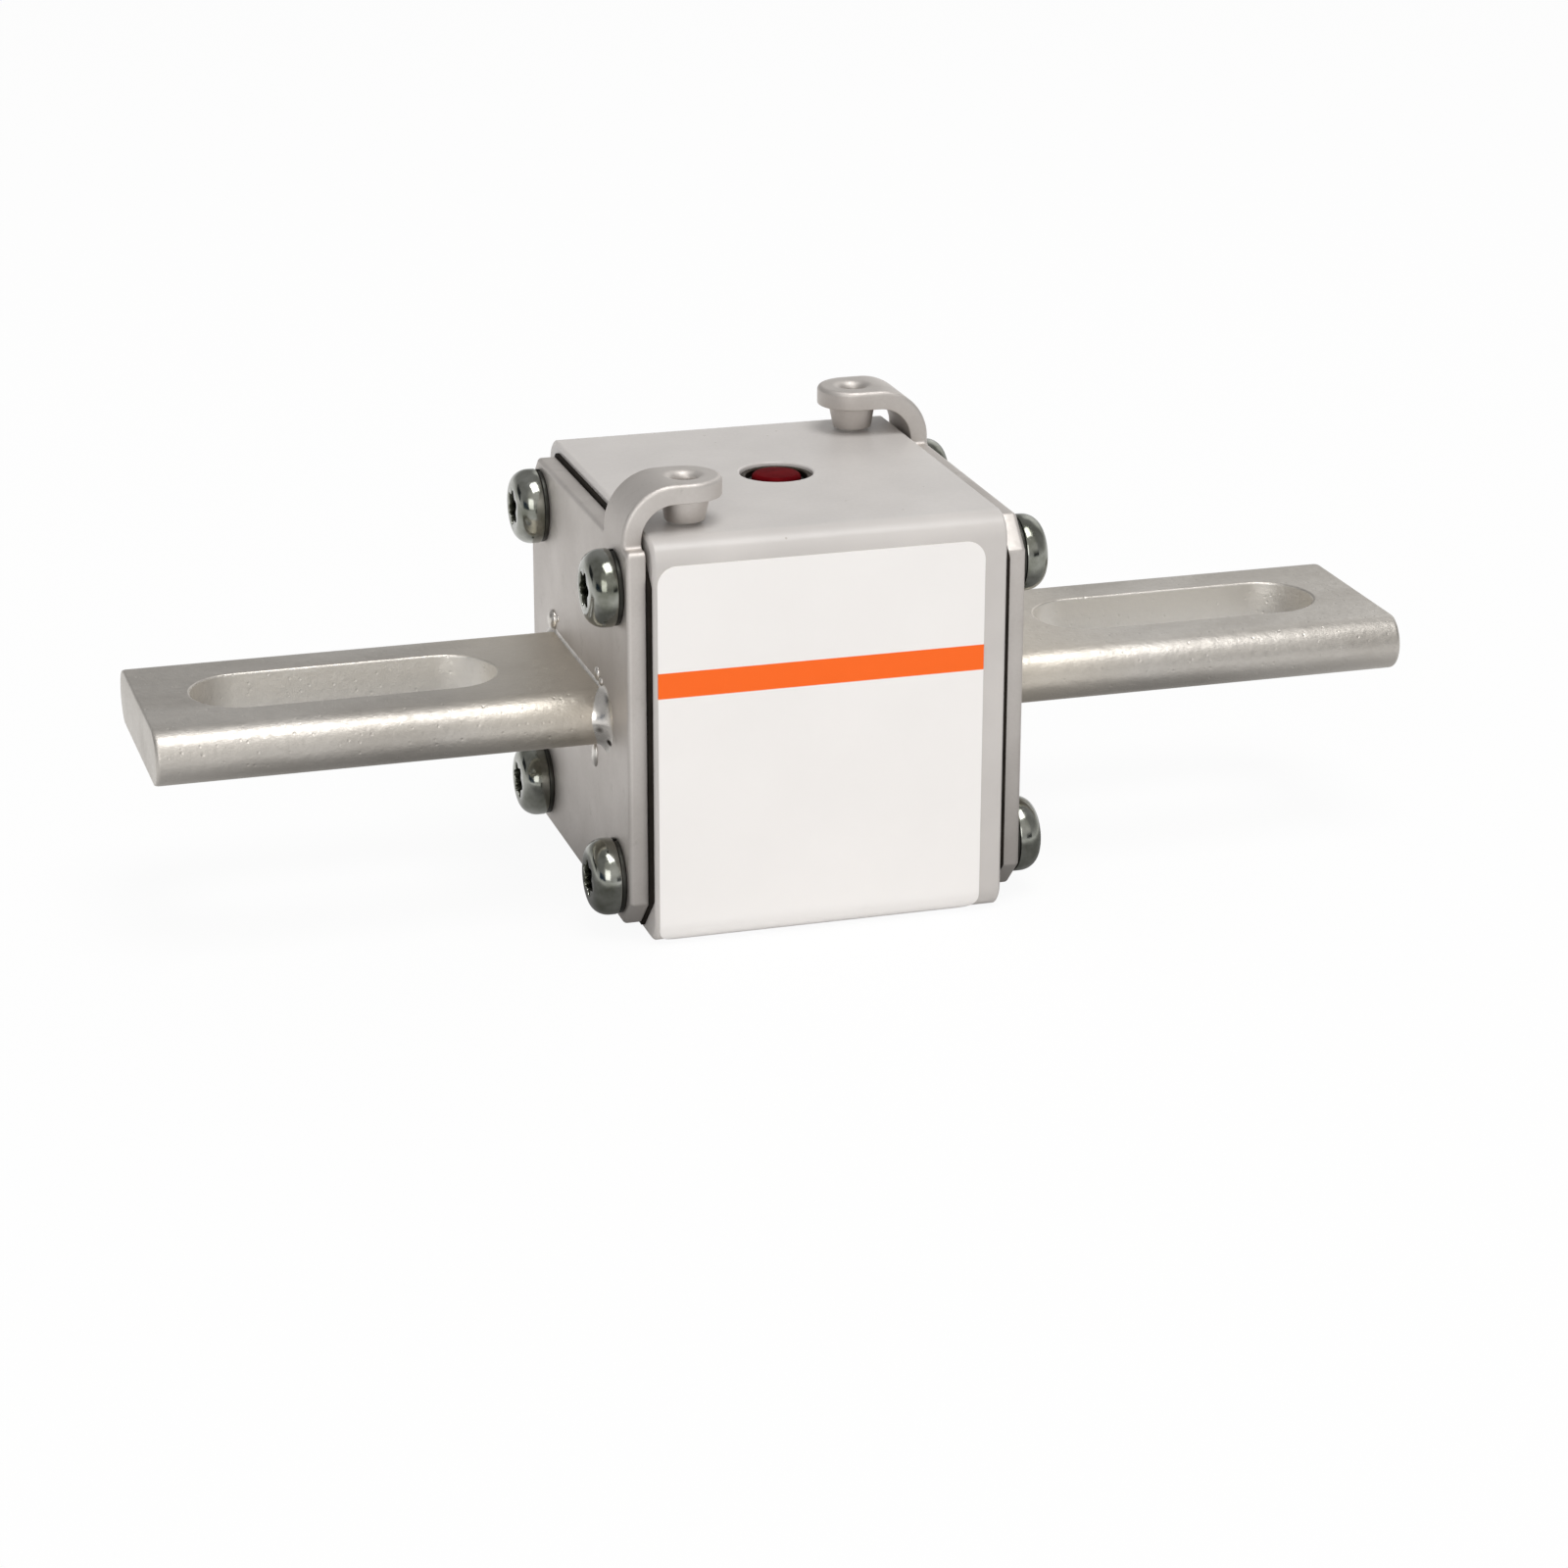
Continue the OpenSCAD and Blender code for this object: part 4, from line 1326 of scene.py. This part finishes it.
@dataclass
class Fasteners:
    """The four domed screws with six-lobed sockets and the split lock washers of one end."""

    side: Side
    seat: float = LAYOUT.plate_outer
    washer_radius: float = 3.9
    washer_bore: float = 2.03
    washer_thickness: float = 0.5
    washer_gap: float = 0.6
    head_radius: float = 4.0
    head_height: float = 2.7
    rim_height: float = 0.8
    crown_radius: float = 2.3
    shank_radius: float = 2.0
    shank_length: float = 11.7
    socket_radius: float = 1.95
    socket_depth: float = 1.5
    tip_chamfer: float = 0.6
    rim_round: float = 0.2
    turns: tuple[float, ...] = (8.0, 37.0, 21.0, 50.0)

    def profile(self) -> tuple[Array, Array]:
        """Radii and heights of the screw from its tip to the middle of the socket.

        The dome is a quarter of an ellipse (b + (a - b) cos t, h sin t) from the rim to the crown.

        Returns:
            The profile of shape (n, 2), and for each point how far it follows the socket's lobes.
        """
        a, b, h = self.head_radius, self.crown_radius, self.head_height - self.rim_height
        top, s, floor = self.head_height, self.socket_radius, self.head_height - self.socket_depth
        cosines, sines = quarter(14)
        dome = np.stack([b + (a - b) * cosines, self.rim_height + h * sines], 1)
        shank, tip, soft = self.shank_radius, self.tip_chamfer, self.rim_round
        end = -self.shank_length
        below = [(0, end), (shank - tip, end), (shank, end + tip)]
        below += [(shank, 0), (a - soft, 0), (a - 0.3 * soft, 0.3 * soft), (a, soft)]
        below += [(a, self.rim_height - 0.6 * soft)]
        crown = [(b - 0.08, top)]
        socket = [(s + 0.07, top), (s + 0.02, top - 0.02), (s, top - 0.09)]
        socket += [(s, floor + 0.1), (s - 0.2, floor), (0, floor - 0.35)]
        profile = np.vstack([below, dome, crown, socket])
        follows = np.zeros(len(profile))
        follows[-len(socket) :] = 1
        return profile, follows

    def screws(self) -> bpy.types.Object:
        """Builds the screws, each turned its own way. The socket's radius is r (0.86 + 0.14 cos 6a).

        Returns:
            The dressed piece.
        """
        profile, follows = self.profile()
        steps = 96
        angle = np.linspace(0, 2 * math.pi, steps, endpoint=False)
        shell = Shell()
        for place, turn in zip(LAYOUT.screws(), self.turns, strict=True):
            lobes = 0.86 + 0.14 * np.cos(6 * (angle + math.radians(turn)))
            factor = 1 + follows[:, None] * (lobes - 1)
            screw = along_x(revolved(profile, steps, factor))
            screw = moved_by(screw, self.seat + self.washer_thickness, *place)
            shell.grid(self.side.turn(screw), round_columns=True)
        piece = shell.build(self.side.node("screw_set"), FUSE, ZINC.material(), sharp=42)
        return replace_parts(piece, self.side.node("screws"))

    def washers(self) -> bpy.types.Object:
        """Builds the washers: a rounded section, carried from one side of the gap round to the other.

        Returns:
            The dressed piece.
        """
        steps = 61
        section = rectangle(self.washer_bore, 0, self.washer_radius, self.washer_thickness)
        section = outline(section, 0.12, steps=3)
        gap = math.asin(self.washer_gap / 2 / self.washer_radius)
        angle = np.linspace(gap, 2 * math.pi - gap, steps)[:, None] + math.pi / 2
        radius, height = section[None, :, 0], np.broadcast_to(section[None, :, 1], (steps, len(section)))
        ring = along_x(np.stack([radius * np.cos(angle), radius * np.sin(angle), height], -1))
        shell = Shell()
        for place in LAYOUT.screws():
            placed = self.side.turn(moved_by(ring, self.seat, *place))
            shell.grid(placed, round_columns=True)
            shell.cap(placed[0])
            shell.cap(placed[-1])
        # near black finish, partly painted shade for the shadow ring under the heads
        piece = shell.build(self.side.node("washer_set"), FUSE, WASHER_PAINTED_SHADE.material(), sharp=35)
        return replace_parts(piece, self.side.node("lock_washers"))


@dataclass
class Indicator:
    """The trip indicator's housing, retaining ring and red cap."""

    centre: tuple[float, float] = LAYOUT.well_centre
    housing_low: float = 5.0
    housing_top: float = 21.1
    housing_radius: float = 3.82
    housing_wall: float = 0.55
    floor: float = 1.0
    stem_hole: float = 1.08
    ring_low: float = 19.1
    ring_top: float = 20.5
    cap_radius: float = 2.6
    cap_low: float = 13.05
    cap_top: float = 21.4
    cap_edge: float = 0.5
    spigot_radius: float = 1.486
    spigot_top: float = 17.08
    edge_break: float = 0.1
    ring_round: float = 0.15
    cap_gap: float = 0.08
    housing_gap: float = 0.03

    def turned(self, name: str, body: str, loop: Array, finish: Finish, closed: bool) -> bpy.types.Object:
        """Revolves a profile round the indicator's axis.

        Args:
            name: Name of the piece.
            body: CAD body that it rides on.
            loop: Radii and heights.
            finish: Finish of the piece.
            closed: Joins the profile's end to its start.

        Returns:
            The new piece.
        """
        shell = Shell()
        shell.grid(moved_by(revolved(loop, 64), *self.centre, 0), round_rows=closed, round_columns=True)
        return shell.build(name, body, finish.material())

    def build(self) -> list[bpy.types.Object]:
        """Builds the three pieces."""
        hole, wall, soft = self.stem_hole, self.housing_radius, self.edge_break
        low, top, inside = self.housing_low, self.housing_top, self.housing_radius - self.housing_wall
        housing = [(hole, low), (wall, low), (wall, top - soft), (wall - soft, top), (inside + soft, top)]
        housing += [(inside, top - soft), (inside, low + self.floor), (hole, low + self.floor)]
        bore, rim = self.cap_radius + self.cap_gap, inside - self.housing_gap
        ring = outline(rectangle(bore, self.ring_low, rim, self.ring_top), self.ring_round, steps=4)
        cosines, sines = quarter(8)
        edge, spigot = self.cap_edge, self.spigot_radius
        rounding = [self.cap_radius - edge * (1 - cosines), self.cap_top - edge * (1 - sines)]
        cap = [(0, self.spigot_top), (spigot, self.spigot_top), (spigot, self.cap_low)]
        cap += [(self.cap_radius, self.cap_low), *np.stack(rounding, 1), (0, self.cap_top)]
        made = (
            ("indicator_housing", FUSE, np.array(housing), DARK_BRASS, True, "housing_brass"),
            ("indicator_retainer", FUSE, ring, BLACK_PLASTIC, True, "black_plastic"),
            ("indicator_cap", STRIKER, np.array(cap), RED_PLASTIC, False, "red_plastic"),
        )
        pieces = []
        for node, body, loop, finish, closed, slot in made:
            piece = self.turned(node + "_skin", body, loop, finish, closed)
            pieces.append(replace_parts(piece, node))
        return pieces


@dataclass
class InnerParts:
    """The CAD nodes that stay, each with its finish."""

    finishes: dict[str, Finish] = field(
        default_factory=lambda: {
            "left_threaded_inserts": TURNED_BRASS,
            "right_threaded_inserts": TURNED_BRASS,
            "left_contact_block": BARE_COPPER,
            "right_contact_block": BARE_COPPER,
            "upper_fuse_strip": ROLLED_SILVER,
            "middle_fuse_strip": ROLLED_SILVER,
            "lower_fuse_strip": ROLLED_SILVER,
            "sand_filling": QUARTZ_SAND,
            "striker": TURNED_STEEL,
            "striker_spring": SPRING_STEEL,
            "holding_wire": RESISTANCE_WIRE,
        }
    )

    def dress(self) -> list[bpy.types.Object]:
        """Gives each node its finish; nodes of one finish share its material."""
        made: dict[str, bpy.types.Material] = {}
        pieces = []
        for name, finish in self.finishes.items():
            if finish.name not in made:
                made[finish.name] = finish.material()
            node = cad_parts[name]
            node.data.materials.clear()
            node.data.materials.append(made[finish.name])
            pieces.append(node)
        return pieces


@dataclass(frozen=True)
class Card:
    """A dark or bright card far away in the surroundings, which metal mirrors as a patch.

    Attributes:
        azimuth: Direction of its middle round the Z axis from X, in degrees.
        elevation: Height of its middle above the horizon, in degrees.
        half_width: Half of its width, in degrees.
        half_height: Half of its height, in degrees.
        colour: Its colour.
        blur: Half of the width of its soft border, in degrees.
    """

    azimuth: float
    elevation: float
    half_width: float
    half_height: float
    colour: Colour
    blur: float = 1.0


@dataclass(frozen=True)
class Lamp:
    """A square lamp, hidden from the camera, that faces the fuse.

    Attributes:
        name: Its name.
        place: Its place in metres.
        size: Its width in metres.
        power: Its power in watts.
    """

    name: str
    place: Triple
    size: float
    power: float

    def build(self) -> None:
        """Adds the lamp to the scene."""
        light = bpy.data.lights.new(self.name, "AREA")
        light.size = self.size
        light.energy = self.power
        holder = bpy.data.objects.new(self.name, light)
        holder.location = self.place
        holder.rotation_mode = "QUATERNION"
        holder.rotation_quaternion = (-Vector(self.place)).to_track_quat("-Z", "Y")
        holder.visible_camera = False
        bpy.context.scene.collection.objects.link(holder)


@dataclass
class Studio:
    """Pale floor, soft light and the camera at the photograph's angle.

    Attributes:
        eye: The camera's place, in millimetres.
        target: Point that it looks at, in millimetres.
        roll: Its turn about its own axis, in degrees.
        lens: Its focal length on a sensor 36 mm wide.
        floor_height: Height of the floor, in millimetres.
        floor_radius: Radius of the floor, in millimetres.
        floor_colour: Colour of the floor.
        shares: Share of each kind of ray that sees the floor lightened.
        shade: Distances from the fuse, in millimetres, between which the mirrored floor goes from dark
            to white.
        dimmest: Brightness of the mirrored floor next to the fuse.
        low_sky: Brightness of the surroundings at the horizon.
        high_sky: Their brightness higher up.
        high_from: Sine of the elevation from which it is reached.
        cards: Cards in the surroundings.
        lamps: The lamps.
    """

    eye: Triple = (-119.51, -397.68, 137.25)
    target: Triple = (1.458, 0.0, -13.249)
    roll: float = 0.152
    lens: float = 94.2
    floor_height: float = -21.55
    floor_radius: float = 6000.0
    floor_colour: Colour = (0.85, 0.845, 0.84)
    shares: tuple[tuple[str, float], ...] = (
        ("Is Camera Ray", 0.93),
        ("Is Glossy Ray", 0.85),
        ("Is Transmission Ray", 0.85),
    )
    shade: tuple[float, float] = (22.0, 54.0)
    dimmest: float = 0.2
    low_sky: float = 0.8
    high_sky: float = 0.39
    high_from: float = 0.3
    cards: tuple[Card, ...] = (
        Card(-150, 9, 20, 8, (0.02, 0.045, 0.08)),
        Card(152, 13, 14, 10, (0.03, 0.035, 0.04)),
        Card(-60, 8, 12, 7, (0.03, 0.035, 0.04)),
        Card(46, 28, 22, 15, (1.26, 1.26, 1.25), 6),
        Card(-95, 36, 45, 22, (0.8, 0.79, 0.77), 8),
    )
    lamps: tuple[Lamp, ...] = (
        Lamp("overhead_lamp", (0.1, -0.35, 1.3), 0.7, 9.9),
        Lamp("front_lamp", (-0.7, -1.3, 0.55), 0.8, 4.9),
    )

    def camera(self) -> None:
        """Places the camera and turns it about its own axis by the roll."""
        eye, target = Vector(self.eye) * MM, Vector(self.target) * MM
        camera = bpy.data.cameras.new("camera")
        camera.lens = self.lens
        camera.sensor_width = 36
        camera.clip_start, camera.clip_end = 0.02, 30
        holder = bpy.data.objects.new("camera", camera)
        look = (target - eye).to_track_quat("-Z", "Y").to_matrix()
        turn = look @ Matrix.Rotation(math.radians(self.roll), 3, "Z")
        holder.matrix_world = Matrix.Translation(eye) @ turn.to_4x4()
        bpy.context.scene.collection.objects.link(holder)
        bpy.context.scene.camera = holder

    def world(self) -> None:
        """Soft surroundings: pale at the horizon and greyer higher up, with the cards."""
        world = bpy.data.worlds.new("surroundings")
        world.use_nodes = True
        tree = world.node_tree
        place = tree.nodes.new("ShaderNodeTexCoord")
        parts = tree.nodes.new("ShaderNodeSeparateXYZ")
        tree.links.new(place.outputs["Generated"], parts.inputs["Vector"])
        colour = range_node(tree, parts.outputs["Z"], 0, self.high_from, self.low_sky, self.high_sky)
        around = math_node(tree, "ARCTAN2", parts.outputs["Y"], parts.outputs["X"])
        up = math_node(tree, "ARCSINE", parts.outputs["Z"])
        for card in self.cards:
            covered = []
            for angle, middle, half in (
                (around, card.azimuth, card.half_width),
                (up, card.elevation, card.half_height),
            ):
                away = math_node(tree, "ABSOLUTE", math_node(tree, "SUBTRACT", angle, math.radians(middle)))
                near, far = math.radians(half - card.blur), math.radians(half + card.blur)
                covered.append(range_node(tree, away, near, far, 1, 0))
            colour = mix_node(tree, math_node(tree, "MULTIPLY", *covered), colour, card.colour)
        tree.links.new(colour, tree.nodes["Background"].inputs["Color"])
        bpy.context.scene.world = world

    def floor(self) -> bpy.types.Object:
        """White floor that keeps a faint shadow.

        Camera, glossy and transmission rays see it lightened. Metal mirrors it white far from the
        fuse and dark close to it, as if the fuse stood in its own shade.
        """
        steps = 96
        disc = lifted(circle(self.floor_radius, steps), self.floor_height)
        mesh = bpy.data.meshes.new("floor")
        mesh.from_pydata((disc * MM).tolist(), [], [list(range(steps))])
        mesh.materials.append(self.floor_material())
        floor = bpy.data.objects.new("floor", mesh)
        bpy.context.scene.collection.objects.link(floor)
        floor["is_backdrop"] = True
        return floor

    def floor_material(self) -> bpy.types.Material:
        """Matt white mixed with light, by the kind of ray and by the distance from the fuse.

        The distance is the length of (0.45 x, y + 18 mm), as the shade is long and lies to the front.
        """
        material = bpy.data.materials.new("floor_white")
        material.use_nodes = True
        tree = material.node_tree
        nodes, links = tree.nodes, tree.links
        nodes.remove(nodes["Principled BSDF"])
        kinds = ("BsdfDiffuse", "Emission", "MixShader")
        matt, glow, mix = (nodes.new("ShaderNode" + kind) for kind in kinds)
        matt.inputs["Color"].default_value = (*self.floor_colour, 1)
        path = nodes.new("ShaderNodeLightPath")
        lightened = 0.0
        for kind, part in self.shares:
            lightened = math_node(tree, "MULTIPLY_ADD", path.outputs[kind], part, lightened)
        links.new(lightened, mix.inputs["Fac"])
        place = nodes.new("ShaderNodeTexCoord")
        squeeze, length = (nodes.new("ShaderNodeVectorMath") for _ in range(2))
        squeeze.operation, length.operation = "MULTIPLY_ADD", "LENGTH"
        squeeze.inputs[1].default_value = (0.45, 1, 0)
        squeeze.inputs[2].default_value = (0, 18 * MM, 0)
        links.new(place.outputs["Object"], squeeze.inputs[0])
        links.new(squeeze.outputs["Vector"], length.inputs[0])
        near, far = (value * MM for value in self.shade)
        mirrored = range_node(tree, length.outputs["Value"], near, far, self.dimmest, 1)
        bright = math_node(tree, "MAXIMUM", mirrored, path.outputs["Is Camera Ray"])
        links.new(bright, glow.inputs["Strength"])
        links.new(matt.outputs["BSDF"], mix.inputs[1])
        links.new(glow.outputs["Emission"], mix.inputs[2])
        links.new(mix.outputs["Shader"], nodes["Material Output"].inputs["Surface"])
        return material

    def build(self) -> None:
        """Sets up the floor, the surroundings, the lamps and the camera."""
        self.floor()
        self.world()
        for lamp in self.lamps:
            lamp.build()
        self.camera()
        bpy.context.scene.view_settings.view_transform = "Standard"


def corners() -> list[list[float]]:
    """Lowest and highest corner of what is shown, as plain lists."""
    return [list(corner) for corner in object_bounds()]


def main() -> None:
    """Builds and dresses the fuse, then the studio."""
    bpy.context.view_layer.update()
    body = CeramicBody()
    pieces = [body.build(), Label(body).build()]
    for side in Side:
        blade = Blade(side)
        braze = Braze(side, blade, beads=LEFT_BEADS if side is Side.LEFT else ())
        fasteners = Fasteners(side)
        pieces += [Gasket(side).build(), EndPlate(side).build(), blade.build(), braze.build()]
        pieces += [fasteners.screws(), fasteners.washers()]
    pieces += Indicator().build()
    pieces += InnerParts().dress()
    for piece in pieces:
        log.info("dressed %s", piece.name)
    Studio().build()
    bpy.context.view_layer.update()


if __name__ == "__main__":
    logging.basicConfig(level=logging.INFO, format="%(name)s %(message)s")
    main()
